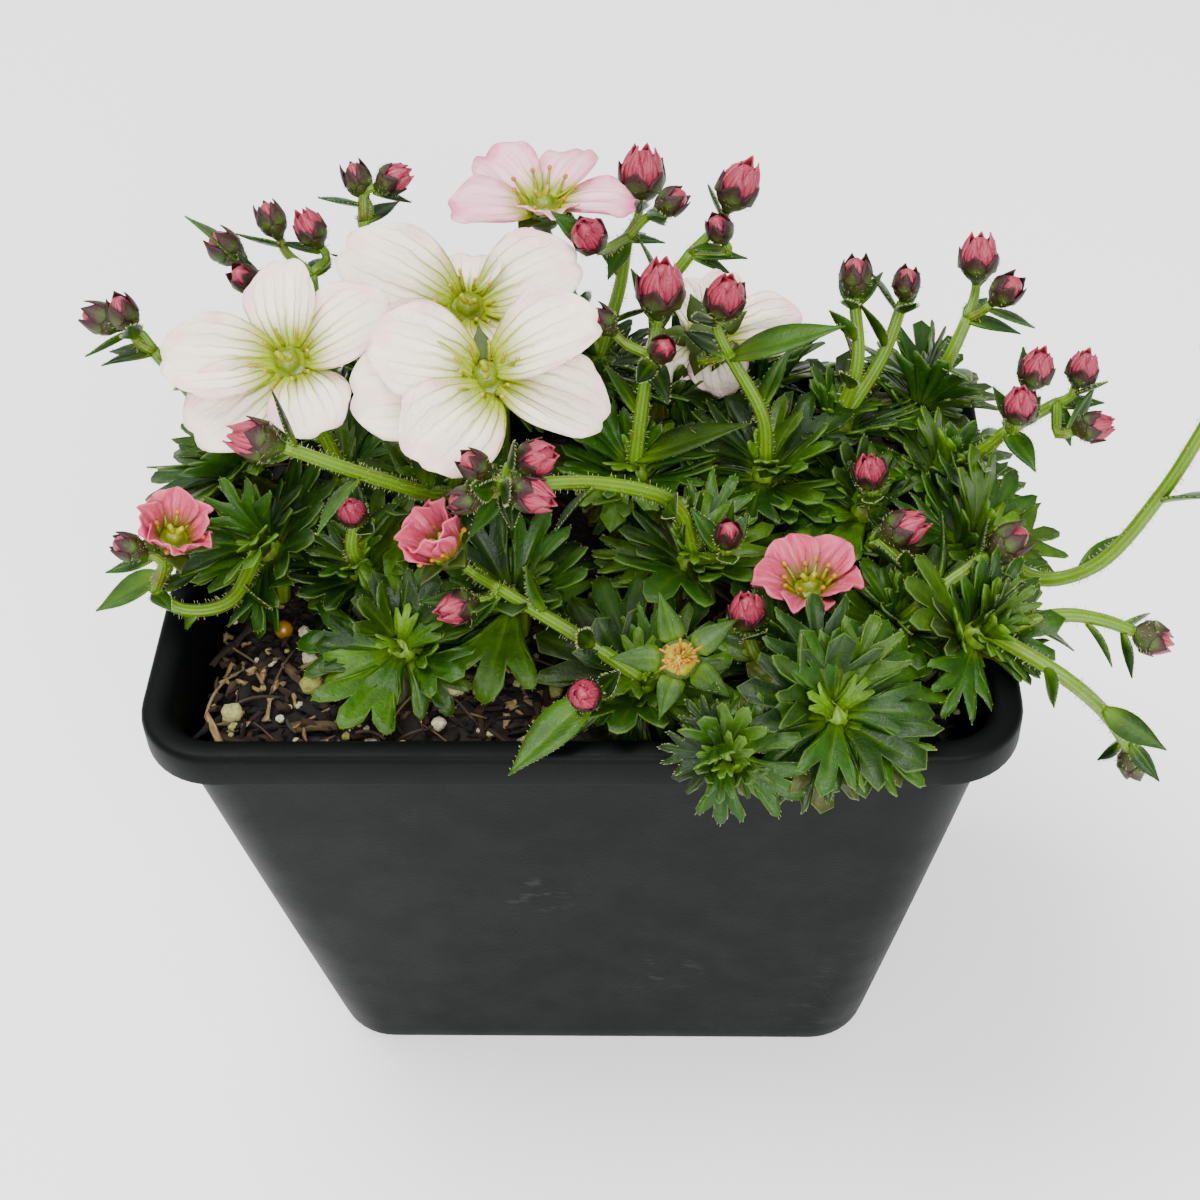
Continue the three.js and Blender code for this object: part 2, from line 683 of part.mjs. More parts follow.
// Whether a body misses every solid that another shoot owns, or that the shoot itself owns
function misses(body, owner, own = false) {
	const box = body.boundingBox();
	return placed.every((other) => (
		(other.owner === owner) !== own || apart(box, other.box) || body.intersect(other.body).isEmpty()
	));
}

// The green part of each head: radius and height of its rings, the height of its end, the height that the
// head's stated place means, and its sepals and stamens by ring, length and pitch
const HEADS = {
	bud: { rings: [[0.9, 0.5], [1.9, 1.5], [2.1, 2.7]], middle: 3.6 },
	closed: { rings: [[0.9, 0.3], [1.8, 1.5], [1.9, 3], [1, 4.6]], middle: 2.5, end: 5.1 },
	star: {
		rings: [[0.9, 0.2], [2, 1.4], [2.1, 2.3], [1.5, 3.2]], middle: 2, end: 3.8,
		blades: [{ ring: 1, form: SEPAL, length: 5.4, pitch: 0.15 }],
	},
	bloom: {
		rings: [[1.2, -3.2], [2.7, -1.5], [2.9, -0.6], [1.4, -0.4], [1.4, 1.3], [1.3, 2.1]], middle: 0, end: 2.7,
		blades: [
			{ ring: 1, form: SEPAL, length: 4.4, pitch: 0.2 },
			{ ring: 4, form: STAMEN, length: 3.4, pitch: 0.75 },
		],
	},
	cup: {
		rings: [[1, -2.8], [2.3, -1.4], [2.5, -0.6], [1.2, -0.4], [1.2, 1.2]], middle: 0, end: 1.8,
		blades: [{ ring: 1, form: SEPAL, length: 3.4, pitch: 0.5 }],
	},
};
const CUP_RIM = 2.1;
const SEPAL_CROWN = { rise: 1.5, spread: 1.2, inset: 0.3, floor: 0.3 };
const FOOT_DEPTH = 0.8;

function isOpen(kind) {
	return kind === 'bloom' || kind === 'cup';
}

// The stations of a head, from its foot up its axis. An open bloom's size is its reach, the others' a factor.
function headStations(item) {
	const form = HEADS[item.kind];
	const scale = isOpen(item.kind) ? 1 : item.size;
	const direction = vector(item.facing).normalize();
	const at = (z) => vector(item.at).addScaledVector(direction, (z - form.middle) * scale);
	const stations = form.rings.map(([radius, z]) => station(at(z), direction, radius * scale));
	for (const { ring, form: blade, length, pitch } of form.blades ?? []) {
		for (let side = 0; side < SIDES; side += 1) {
			const long = length * scale;
			stations[ring].blades[side] = { form: blade, length: long, width: blade.breadth * long, pitch, yaw: 0 };
		}
	}
	return { stations, tip: form.end ? at(form.end) : null, foot: at(form.rings[0][1] - FOOT_DEPTH), direction };
}

// Furled petals standing out of a bud's cup, by radius and height of each ring
function makeTip({ at, facing: aim, size }) {
	const direction = vector(aim).normalize();
	const level = (z) => vector(at).addScaledVector(direction, (z - HEADS.bud.middle) * size);
	const rings = [[1.2, 3.1], [1.45, 3.7], [2.1, 4.8], [1.5, 6.2]];
	return stemBody(rings.map(([radius, z]) => station(level(z), direction, radius * size)), level(6.7));
}

// Five petals grown out of a ring that lies round the ovary
function makeCorolla(item) {
	const { inner, outer, height, pitch } = item.kind === 'cup' ? CUP_RING : OPEN_RING;
	const rotation = facing(vector(item.facing).normalize(), item.turn);
	const skin = new Skin();
	const ring = (radius, z) => skin.add(Array.from({ length: SIDES }, (_, i) => {
		const angle = 2 * Math.PI * i / SIDES;
		return new THREE.Vector3(radius * Math.cos(angle), radius * Math.sin(angle), z);
	}));
	const [lowInner, lowOuter, highOuter, highInner] = [
		ring(inner, 0), ring(outer, 0), ring(outer, height), ring(inner, height),
	];
	skin.band(lowInner, lowOuter);
	skin.band(lowOuter, highOuter, (side, corners) => {
		const [yaw = 0, lift = 0, stretch = 1] = item.bends[side] ?? [];
		const frame = faceFrame(corners.map((c) => skin.points[c]), UP, yaw + 0.1 * (draw(side, item.size) - 0.5));
		const length = (item.size - outer) * stretch * (0.95 + 0.1 * draw(side, item.size + 1));
		const rise = pitch + lift + 0.2 * draw(side, item.size + 2);
		skin.blade({ form: PETAL, length, width: PETAL.breadth * length, pitch: rise, ...frame }, corners);
		return true;
	});
	skin.band(highOuter, highInner);
	skin.band(highInner, lowInner);
	skin.points.forEach((p) => p.applyQuaternion(rotation).add(vector(item.at)));
	return skin.solid();
}

// Stations along a smooth line through points, with a pair of rings wherever a bract grows
function lineStations(points, radius, hasBracts, fromStart) {
	if (points.length === 0) return [];
	const curve = new THREE.CatmullRomCurve3(points);
	const length = curve.getLength();
	const steps = Math.max(2, Math.round(length / STEM_STEP));
	const shares = hasBracts ? (length > LONG_STEM ? [0.35, 0.7] : [0.5]) : [];
	const marks = [];
	for (let i = fromStart ? 0 : 1; i <= steps; i += 1) {
		const share = i / steps;
		if (shares.every((other) => Math.abs(other - share) * length > 2.2 * ROOT_HEIGHT)) marks.push([share, false]);
	}
	shares.forEach((share) => marks.push([share, true], [share + ROOT_HEIGHT / length, false]));
	marks.sort((a, b) => a[0] - b[0]);
	return marks.map(([share, bears]) => {
		const made = station(curve.getPointAt(share), curve.getTangentAt(share), radius);
		return { ...made, bears };
	});
}

// The knob of a crown: two belts of faces that leaves grow from, the upper one turned by half a side
function crownStations(shoot) {
	const axis = new THREE.Vector3(shoot.lean[0], shoot.lean[1], 1).normalize();
	const crown = vector(shoot.crown);
	const level = (z, radius, phase, belt) => (
		{ ...station(crown.clone().addScaledVector(axis, z), axis, radius, phase), belt }
	);
	return [
		level(CROWN_FOOT, CROWN_RADIUS * 0.8, 0, -1),
		level(LOW_BELT, CROWN_RADIUS, 0, 0),
		level(LOW_BELT + ROOT_HEIGHT, CROWN_RADIUS, 0, -1),
		level(HIGH_BELT, CROWN_RADIUS, 0.5, 1),
		level(HIGH_BELT + ROOT_HEIGHT, CROWN_RADIUS * 0.95, 0.5, -1),
	];
}

// All the stems of a shoot as lists of stations. The first rises from the soil through the crown.
function shootStems(shoot) {
	const [x, y] = shoot.root;
	const foot = new THREE.Vector3(x, y, SOIL_LEVEL - HOLE_DEPTH + GAP);
	const neck = new THREE.Vector3(x, y, SOIL_LEVEL + STALK_RISE);
	const knob = crownStations(shoot);
	const axis = knob[0].direction;
	const top = knob.at(-1).centre;
	const base = [station(foot, UP, STALK_RADIUS), station(neck, UP, STALK_RADIUS), ...knob];
	if (shoot.bow) {
		const bow = vector(shoot.bow);
		base.splice(2, 0, station(bow, knob[0].centre.clone().sub(neck).normalize(), STALK_RADIUS));
	}
	const stems = [];
	for (const stem of shoot.stems) {
		const single = stem.heads.length === 1;
		const path = stem.path.map(vector);
		const first = stems.length === 0;
		const start = first ? top.clone().addScaledVector(axis, 0.8) : top.clone().addScaledVector(axis, -0.6);
		const goal = single ? headStations(stem.heads[0]) : null;
		const points = goal ? [start, ...path, goal.foot] : [start, ...path];
		stems.push({ points, goal, base: first ? base : [], radius: STEM_RADIUS, bracts: true });
		if (single) continue;
		for (const item of stem.heads) {
			const end = headStations(item);
			const middle = end.foot.clone().addScaledVector(end.direction, -1.6);
			stems.push({ points: [path.at(-1), middle, end.foot], goal: end, base: [], radius: PEDICEL_RADIUS });
		}
	}
	if (stems.length === 0) stems.push({ points: [], goal: null, base, radius: 0 });
	return stems;
}

// The stem with its middle points bent aside until it misses the other shoots
function settle(stem, owner) {
	const { points, base, goal, radius } = stem;
	const end = goal ? goal.stations : [];
	for (let attempt = 0; attempt < BEND_TRIES; attempt += 1) {
		const angle = attempt * GOLDEN_ANGLE;
		const aside = BEND_STEP * attempt;
		const shift = new THREE.Vector3(Math.cos(angle) * aside, Math.sin(angle) * aside, 0.4 * aside);
		const bent = points.map((p, i) => (i > 0 && i + 1 < points.length ? p.clone().add(shift) : p));
		const free = [...base, ...lineStations(bent, radius, stem.bracts, base.length === 0)];
		const grown = free.map((s) => ({ ...s, radius: s.radius + GAP }));
		const crosses = !misses(stemBody(grown, grown.at(-1).centre), owner);
		if (crosses && attempt + 1 < BEND_TRIES) continue;
		const stations = [...free, ...end];
		const last = stations.at(-1);
		const tip = goal ? goal.tip : last.centre.clone().addScaledVector(last.direction, TIP_RISE);
		record(owner, stemBody(stations.map((s) => ({ ...s, blades: [] })), tip ?? last.centre));
		return { stations, tip };
	}
	return null;
}

// Finishes a blade's place on its face, and tips, turns or shortens it until it crosses nothing
function fitBlade(owner, spec, corners, direction) {
	for (let attempt = 0; attempt < BLADE_TRIES; attempt += 1) {
		const side = attempt % 2 === 0 ? 1 : -1;
		const size = 1 - SHRINK * Math.floor(attempt / TRIES_PER_SIZE);
		const tried = {
			...spec,
			...faceFrame(corners, direction, spec.yaw + side * 0.04 * (attempt % TRIES_PER_SIZE + 1)),
			pitch: spec.pitch + 0.12 * (attempt % TRIES_PER_SIZE),
			length: spec.length * size,
			width: spec.width * size,
		};
		if (!misses(closedBlade(tried, GAP, 0.06), owner)) continue;
		if (!misses(closedBlade(tried, 0, CLEAR_SHARE), owner, true)) continue;
		record(owner, closedBlade(tried, 0, 0.04));
		return tried;
	}
	return null;
}

// Settles the blades that the stations of a stem already state, such as sepals and stamens
function fitStated(owner, stations) {
	const rings = ringsOf(stations);
	stations.forEach((place, i) => {
		place.blades = place.blades.map((spec, side) => {
			const next = (side + 1) % SIDES;
			const corners = [rings[i][side], rings[i][next], rings[i + 1][next], rings[i + 1][side]];
			const stated = { ...spec, ...faceFrame(corners, place.direction, spec.yaw) };
			record(owner, closedBlade(stated, 0, CLEAR_SHARE));
			return stated;
		});
	});
}

// The blades that a stem would bear, each on its own face: leaves on the crown's belts, bracts on the stems
function bladeWishes(shoot, index, stations, first) {
	const rings = ringsOf(stations);
	const wishes = [];
	const wish = (order, i, side, spec) => {
		const next = (side + 1) % SIDES;
		const corners = [rings[i][side], rings[i][next], rings[i + 1][next], rings[i + 1][side]];
		wishes.push({ order, place: stations[i], side, spec, corners, owner: shoot.name });
	};
	stations.forEach((place, i) => {
		const n = 40 * index + 7 * i + (first ? 0 : 3);
		if (place.bears) {
			const length = BRACT_LENGTH * (0.8 + 0.4 * draw(n, 11));
			const side = Math.floor(SIDES * draw(n, 13));
			const pitch = 0.6 + 0.3 * draw(n, 12);
			wish(-1, i, side, { form: BRACT, length, width: BRACT.breadth * length, pitch, yaw: 0 });
		}
		for (let side = 0; place.belt >= 0 && side < SIDES; side += 1) {
			const order = place.belt * SIDES + side;
			if (order >= shoot.leaves) break;
			const length = shoot.length * (1 - 0.16 * place.belt) * (0.78 + 0.36 * draw(n + side, 21));
			const pitch = 0.02 + 0.7 * place.belt + 0.42 * draw(n + side, 22);
			const yaw = 0.7 * (draw(n + side, 23) - 0.5);
			wish(order, i, side, { form: LEAF, length, width: LEAF.breadth * length, pitch, yaw });
		}
	});
	return wishes;
}

// Grows the blades in turns, one from every shoot at a time, so that crowded shoots share the room
function growBlades(wishes) {
	wishes.sort((a, b) => a.order - b.order);
	for (const { place, side, spec, corners, owner } of wishes) {
		const fitted = fitBlade(owner, spec, corners, place.direction);
		if (fitted) place.blades[side] = fitted;
	}
}

const group = new THREE.Group();
const pot = record('pot', makePot());
const soil = record('soil', makeSoil());
group.add(part('pot', pot, 'pot'), part('soil', soil, 'soil'));

const corollas = SHOOTS.map((shoot) => shoot.stems.flatMap((stem) => stem.heads)
	.filter(({ kind }) => kind === 'bud' || isOpen(kind))
	.map((item) => {
		const body = item.kind === 'bud' ? makeTip(item) : makeCorolla(item);
		return { item, body: record(`${shoot.name} petals`, body) };
	}));
const plants = SHOOTS.map((shoot) => shootStems(shoot).map((stem) => settle(stem, shoot.name)));

plants.forEach((stems, i) => stems.forEach(({ stations }) => fitStated(SHOOTS[i].name, stations)));
growBlades(plants.flatMap((stems, i) => stems.flatMap(({ stations }, k) => (
	bladeWishes(SHOOTS[i], i, stations, k === 0)
))));

SHOOTS.forEach((shoot, i) => {
	const bodies = plants[i].map(({ stations, tip }) => stemBody(stations, tip));
	group.add(part(`shoot_${shoot.name}`, wasm.Manifold.union(bodies), 'shoot'));
	corollas[i].forEach(({ item, body }, n) => {
		const kind = item.kind === 'bud' ? 'bud' : 'corolla';
		group.add(part(`${kind}_${shoot.name}_${n + 1}`, body, item.colour));
	});
});

export default group;
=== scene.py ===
"""White mossy saxifrage in flower in an oblong nursery pot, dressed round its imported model.

The row frame is the model's own: +X to the right of the pot's long front side, -Y towards the
viewer and +Z up, with the origin in the middle of the pot's underside. Sizes in this file are in
millimetres, and the meshes are written in metres.
"""

import logging
import math
from dataclasses import dataclass, field, replace
from enum import Enum, IntEnum
from typing import ClassVar

import bpy
import numpy as np
from mathutils import Matrix


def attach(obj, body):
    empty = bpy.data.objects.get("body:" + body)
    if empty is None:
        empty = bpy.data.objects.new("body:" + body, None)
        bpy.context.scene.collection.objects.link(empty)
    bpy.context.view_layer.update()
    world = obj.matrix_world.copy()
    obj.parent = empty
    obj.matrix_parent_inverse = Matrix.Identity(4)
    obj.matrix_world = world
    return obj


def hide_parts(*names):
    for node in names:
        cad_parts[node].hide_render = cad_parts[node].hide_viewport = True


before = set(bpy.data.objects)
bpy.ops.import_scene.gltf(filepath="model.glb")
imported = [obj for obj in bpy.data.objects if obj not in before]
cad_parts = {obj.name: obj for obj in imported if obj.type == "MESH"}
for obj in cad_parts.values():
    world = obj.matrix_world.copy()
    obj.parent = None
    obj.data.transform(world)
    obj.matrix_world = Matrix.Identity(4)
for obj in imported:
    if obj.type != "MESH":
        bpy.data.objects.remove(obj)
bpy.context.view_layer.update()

LOG = logging.getLogger("saxifrage")
Array = np.ndarray
Point = tuple[float, float, float]
Profile = list[tuple[float, float]]
MM = 0.001
UP = np.array([0.0, 0.0, 1.0])
GOLDEN_ANGLE = 2.39996
SIDES = 5
FLAT: Point = (0.0, 0.0, 1.0)


class HeadKind(Enum):
    """The state that a flower head is in."""

    BLOOM = "bloom"
    CUP = "cup"
    BUD = "bud"
    CLOSED = "closed"
    STAR = "star"


class Tint(Enum):
    """The colour of a head's petals, named as the record's slots are."""

    WHITE = "petal_white"
    BLUSH = "petal_blush"
    PINK = "petal_pink"


class Tissue(IntEnum):
    """The finish of each face of a leafy shoot, in the order of its material slots."""

    LEAF = 0
    STEM = 1
    CALYX = 2
    THROAT = 3
    ANTHER = 4
    PETAL = 5


@dataclass(frozen=True)
class Head:
    """One flower head.

    Args:
        kind: Its state.
        at: The middle of the head.
        facing: The way that it looks.
        size: The reach of an open bloom, or a factor on any other head.
        turn: Its turn about its own axis, in radians.
        tint: The colour of its petals.
        bends: For each petal of an open bloom, its extra yaw and pitch, and its share of the usual
            length.
    """

    kind: HeadKind
    at: Point
    facing: Point
    size: float = 1.0
    turn: float = 0.0
    tint: Tint = Tint.PINK
    bends: tuple[Point, ...] = (FLAT,) * SIDES

    @property
    def is_open(self) -> bool:
        """Whether the petals are spread."""
        return self.kind in (HeadKind.BLOOM, HeadKind.CUP)

    @property
    def scale(self) -> float:
        """The factor on the head's green parts."""
        return 1.0 if self.is_open else self.size

    def axis(self) -> Array:
        """The unit vector along which the head looks."""
        return unit(np.array(self.facing, float))


@dataclass(frozen=True)
class Stem:
    """One flowering stem of a shoot: the points of its path up to its fork, and its heads."""

    path: tuple[Point, ...]
    heads: tuple[Head, ...]


@dataclass(frozen=True)
class Shoot:
    """One leafy shoot.

    Args:
        name: The name that its nodes carry.
        root: Where it leaves the soil, in x and y.
        crown: The middle of its rosette.
        lean: How far the crown's axis leans in x and y for a rise of one.
        leaves: The number of full leaves.
        length: The length of a full leaf.
        stems: Its flowering stems.
        fits: How often each leaf was tipped to clear its neighbours, a digit or letter each, - for
            none.
        bow: A point that its stalk arches over to the crown, if any.
    """

    name: str
    root: tuple[float, float]
    crown: Point
    lean: tuple[float, float]
    leaves: int
    length: float
    stems: tuple[Stem, ...]
    fits: str
    bow: Point | None = None


LARGE_BRACTS: dict[str, tuple[Point, Point, float]] = {
    "back_left": ((-42.2, 25.0, 98.6), (-48.0, 24.0, 106.5), 3.3),
    "left_front": ((-49.2, -11.5, 80.4), (-57.6, -13.0, 76.2), 4.2),
    "front_spent": ((1.6, -28.3, 77.7), (-7.3, -37.0, 74.6), 4.6),
    "middle": ((6.1, 8.2, 80.8), (20.1, 6.7, 87.8), 5.0),
    "middle_right": ((17.7, 11.8, 93.6), (30.9, 10.3, 99.4), 4.6),
}


def bloom(at: Point, facing: Point, size: float, turn: float, tint: Tint = Tint.WHITE,
          **more) -> Head:
    """A wide open bloom."""
    return Head(HeadKind.BLOOM, at, facing, size, turn, tint, **more)


def cup(at: Point, facing: Point, size: float, turn: float, tint: Tint = Tint.PINK, **more) -> Head:
    """A half-open bloom."""
    return Head(HeadKind.CUP, at, facing, size, turn, tint, **more)


def bud(at: Point, facing: Point, size: float = 1.0) -> Head:
    """A bud that shows its furled petals."""
    return Head(HeadKind.BUD, at, facing, size)


def closed(at: Point, facing: Point, size: float = 1.0) -> Head:
    """A bud whose sepals still meet."""
    return Head(HeadKind.CLOSED, at, facing, size)


SHOOTS = (
    Shoot("back_left", (-35, 21), (-35, 21, 80), (-0.3, 0.2), 7, 12, (
        Stem(((-34, 23, 90), (-34, 25, 97)), (
            bud((-34, 28, 102), (-0.4, 0.1, 1), 0.8), closed((-44, 25, 101), (-0.6, 0, 0.8)),
            closed((-38.5, 28, 103), (-0.3, 0.2, 1), 0.9),
            closed((-41, 20, 100), (-0.4, -0.4, 0.8), 0.85))),
    ), "323-00-"),
    Shoot("back_left_inner", (-24, 25), (-24, 25, 81), (-0.1, 0.4), 6, 11, (
        Stem(((-27, 29, 93), (-28, 32, 100)), (
            bud((-23.5, 34, 105), (0.9, 0, 0.45), 0.8),
            closed((-28.5, 35, 104), (-0.3, 0.2, 1), 0.9))),
    ), "02---0"),
    Shoot("back_middle_left", (-12, 22), (-12, 23, 82), (0, 0.3), 7, 12, (
        Stem(((-13, 21, 89),), (bloom((-14, 18, 97), (0.1, -0.5, 0.85), 15, -0.3, bends=(
            (0.1, 0, 0.98), (0, -0.4, 0.38), (0.03, 0, 1.2), FLAT, FLAT)),)),
    ), "8-20g00"),
    Shoot("back_middle", (1, 26), (1, 26, 83), (0.1, 0.4), 7, 10, (
        Stem(((-3, 30, 92),), (bloom((-5.3, 32, 102), (0, -0.08, 1), 12.2, 0.48, Tint.BLUSH, bends=(
            (0, -0.1, 1), (0, -0.1, 1), (-0.1, -0.1, 1.1), (0, 0.4, 0.6), (0, -0.1, 1.1))),)),
        Stem(((4, 30, 91), (5, 32, 97)), (
            bud((7, 37, 103.5), (0.1, 0.1, 1), 1.2), bud((0.7, 22, 104.5), (-0.2, -0.5, 0.8), 0.9),
            closed((10.5, 33, 101.5), (0.8, 0, 0.6), 0.9))),
    ), "c000g0-"),
    Shoot("back_middle_right", (10, 23), (10, 24, 81), (0.1, 0.3), 7, 10, (
        Stem(((8.5, 28, 89), (13, 30, 96)), (
            bud((19, 31, 105.5), (0.4, 0, 1), 1.1),
            closed((16.6, 29.5, 99.8), (-0.3, -0.2, 1), 0.85))),
    ), "01-0g0-"),
    Shoot("back_rim", (21.5, 26), (22, 27, 80), (0, 0.5), 7, 10, (), "011e000"),
    Shoot("back_right", (31.5, 17), (31.5, 16.5, 80), (0, 0.3), 8, 10.5, (
        Stem(((33.5, 18, 88),), (closed((33, 23, 97.2), (0, 0.2, 1), 0.95),)),
        Stem(((37, 21, 87),), (closed((39.5, 25, 94.5), (0.1, 0.1, 1), 0.85),)),
    ), "90h-4---"),
    Shoot("back_right_corner", (41, 22), (43, 22, 80), (0.4, 0.3), 7, 10.5, (
        Stem(((45, 20, 87), (47, 22, 91.5)), (
            bud((48, 25, 98.8), (0, 0.1, 1)), closed((51, 21, 96.3), (0.5, -0.2, 0.8), 0.95))),
    ), "10-6c05"),
    Shoot("left_rim", (-41, 10), (-43.5, 9.5, 80.5), (-0.6, 0.1), 7, 12, (
        Stem(((-47, 10, 89), (-51, 10, 97)), (
            closed((-53.5, 10, 102.5), (-0.2, 0, 1), 0.9),
            closed((-56.5, 11, 101), (-1, 0, 0.5), 0.95))),
    ), "1221400"),
    Shoot("left_bloom", (-29, 8), (-30, 7, 80), (-0.2, 0), 6, 12, (
        Stem(((-32, 7, 88),), (bloom((-33.7, 5, 99), (-0.1, -0.55, 0.8), 14, -0.3, bends=(
            (0.1, 0, 1.06), (0.02, 0, 0.92), (0.32, 0.1, 1.19), (-0.38, -0.2, 1.15),
            (-0.24, 0, 0.75))),)),
    ), "00g-k1"),
    Shoot("middle_left", (-16, 4), (-16, 3, 80), (0, -0.1), 7, 11, (
        Stem(((-14, 1, 90),), (bloom((-10, -2, 102), (0, -0.45, 0.89), 15.5, 1.75, bends=(
            (0.68, 0.15, 1), (-0.46, -0.3, 1.13), (-0.85, -0.05, 0.95), (-0.2, -0.3, 1),
            (-0.84, 0, 1))),)),
        Stem(((-18, -4, 86.5), (-25.3, -9, 94.5)), (bud((-35.5, -11, 101), (-1, 0, 0.35), 0.95),)),
    ), "0074002"),
    Shoot("middle", (6, 8), (6, 8, 80), (0, 0.1), 7, 12, (
        Stem(((7, 10, 88), (8, 12, 94)), (
            bud((9.5, 15, 102), (0.1, 0, 1), 1.2), closed((9.5, 8.5, 97.5), (0.3, -0.5, 0.8), 0.8),
            closed((2.5, 13.5, 98), (-0.6, 0, 0.8), 0.8))),
    ), "00003-0"),
    Shoot("middle_right", (21, 8), (22, 8, 80), (0, 0), 7, 11, (
        Stem(((21.5, 9, 87), (17.5, 12, 94)), (
            bloom((15, 19.5, 91), (0.15, 1, -0.1), 12, 0.42, bends=(
                (0.26, 0, 1), (-0.2, 0, 0.9), (0, 0.6, 0.7), (0, 0.6, 0.7), (0, 0, 1.1))),
            bud((17, 12.5, 102.3), (0.2, -0.2, 1)))),
    ), "3000600"),
    Shoot("right_inner", (34, 3), (34, 3, 78), (0, 0), 7, 10, (
        Stem(((34.6, 0.8, 80.5),), (bud((34, 0, 86), (-0.1, -0.1, 1), 0.8),)),
    ), "4000005"),
    Shoot("right_rim", (41, 8), (44, 8, 79), (0.5, 0.1), 8, 10.5, (
        Stem(((48, 6, 84), (50.5, 5, 88)), (
            bud((51, 3, 93.5), (0, -0.2, 1), 0.85), bud((53.5, 8.5, 94.5), (0.2, 0, 1), 0.85))),
        Stem(((52, 11, 83), (57, 11, 87)), (
            bud((59.5, 11, 92.5), (0.2, 0, 1), 0.8), bud((61, 6, 87.5), (1, -0.1, 0.4), 0.75))),
    ), "20-g4-0-"),
    Shoot("right_outer", (41.5, -4), (47, -4, 78.5), (0.7, 0), 7, 11, (
        Stem(((53, -10, 78), (59, -12, 82), (65, -11, 92), (69, -10, 103)), (
            closed((70.5, -9, 108.5), (0.2, 0.1, 1), 0.9),
            closed((73.5, -8.5, 105.5), (0.8, 0, 0.6), 0.8))),
    ), "240g400"),
    Shoot("right_trailing", (41, -15), (46, -19, 78.5), (0.7, -0.3), 7, 11, (
        Stem(((54, -25, 77.5), (59.5, -25, 71.5)), (closed((64, -25, 62.8), (0.3, 0, -1), 0.85),)),
        Stem(((55, -17, 79), (60, -17, 78)), (bud((66, -17, 75), (0.8, 0, -0.4), 0.8),)),
    ), "cd01e-5"),
    Shoot("left_front", (-38, -3), (-39, -3, 77.5), (-0.5, -0.2), 7, 12, (
        Stem(((-42, -12, 76.5), (-47, -14, 77.5), (-50, -13, 79.5)), (
            cup((-47.2, -10, 85), (0.3, -0.1, 0.95), 7, 0, Tint.PINK),
            closed((-51.5, -13, 86.5), (-0.8, -0.1, 0.6), 0.8))),
    ), "0140248"),
    Shoot("left_inner", (-26, -6), (-27, -6, 77), (-0.1, -0.2), 8, 10.5, (
        Stem(((-27.5, -6, 80),), (bud((-26.8, -6, 85.5), (0, -0.4, 0.9), 0.7),)),
    ), "08234-gg"),
    Shoot("soil_rosette", (-21, -17), (-21, -17, 74.5), (0.1, -0.3), 7, 11, (), "0000000"),
    Shoot("front_inner", (-8, -10), (-8, -10, 76), (0, -0.1), 7, 11, (), "0030601"),
    Shoot("middle_arching", (12, -8), (13, -7, 79), (0.2, 0), 7, 12, (
        Stem(((11, -8, 88), (3, -12, 95), (-7, -15.5, 98)), (
            bud((-3.6, -16, 102.3), (0.7, -0.3, 0.55), 0.85),
            bud((-4, -19, 99.6), (0.8, -0.5, 0.05), 0.85),
            closed((-10.3, -16.5, 101.6), (-0.6, -0.1, 0.8), 0.8),
            closed((-11.5, -18, 98.2), (-0.9, -0.4, 0.1), 0.75))),
        Stem(((17, -10, 82),), (closed((17, -11, 86), (0.1, -0.2, 1), 0.8),)),
    ), "000550-"),
    Shoot("front_spent", (6, -22), (7, -23, 75), (-0.1, -0.4), 6, 12, (
        Stem(((1, -21, 79), (-9, -16, 82.5)), (
            cup((-15, -13.5, 86.6), (-0.5, -0.1, 0.85), 7.5, 0.3, Tint.PINK,
                bends=((0, 0.25, 1),) * SIDES),
            bud((-14, -18.5, 82), (-0.7, -0.5, 0.2), 0.8))),
        Stem(((10, -25, 78.5),), (Head(HeadKind.STAR, (11.5, -27, 82.5), (0.05, -0.6, 0.8)),)),
        Stem(((3, -26, 76.5),), (bud((1, -30, 80), (-0.2, -0.6, 0.8), 0.75),)),
    ), "008620"),
    Shoot("front_cup", (23, -21), (23, -21, 76), (0.1, -0.2), 7, 10.5, (
        Stem(((29.5, -17, 76.5),),
             (cup((26.3, -14.5, 81), (-0.05, 0.02, 1), 7.8, 0.2, bends=((0, -0.4, 1),) * SIDES),)),
        Stem(((20, -23, 79),), (bud((19, -21, 84), (0, -0.1, 1), 0.85),)),
    ), "8003468"),
    Shoot("front_rim", (18, -25.5), (16.5, -38, 79), (-0.2, -1.1), 7, 7.5, (), "0000007",
          bow=(18, -31, 78.3)),
    Shoot("front_right_rim", (30, -25.5), (28.5, -32.5, 80), (0.3, -0.5), 6, 13, (), "007030",
          bow=(29.7, -28, 76)),
    Shoot("front_right", (35, -14), (37, -16, 77), (0.2, -0.2), 8, 10.5, (
        Stem(((41, -15, 81), (46, -12, 83)), (closed((49, -10.5, 84.2), (0.8, 0.2, 0.5)),)),
        Stem(((37.5, -12, 81),), (bud((37.5, -9, 85.2), (0.9, 0, 0.5), 0.9),)),
    ), "20-0---3"),
)


# The step, the salt's step and the gain of the repeatable draw, as in the model
DRAW_STEP, SALT_STEP, DRAW_GAIN = 12.9898, 78.233, 43758.5453
SPAN_POINTS = 25
# A hair thickens to this share of its width at this share of its length
GLAND_AT, GLAND_WIDTH = 0.84, 0.62
HAIR_POINTS = 7


def draw(n: Array | float, salt: float) -> Array:
    """A repeatable draw from 0 to 1: the fractional part of a large multiple of a sine.

    Args:
        n: The item's number, or an array of them.
        salt: The number of the series.

    Returns:
        One value for each n.
    """
    value = np.sin(np.asarray(n, float) * DRAW_STEP + salt * SALT_STEP) * DRAW_GAIN
    return value - np.floor(value)


# A full turn in radians as the random angles take it, rounded as in the model
ROUGH_TURN = 6.28


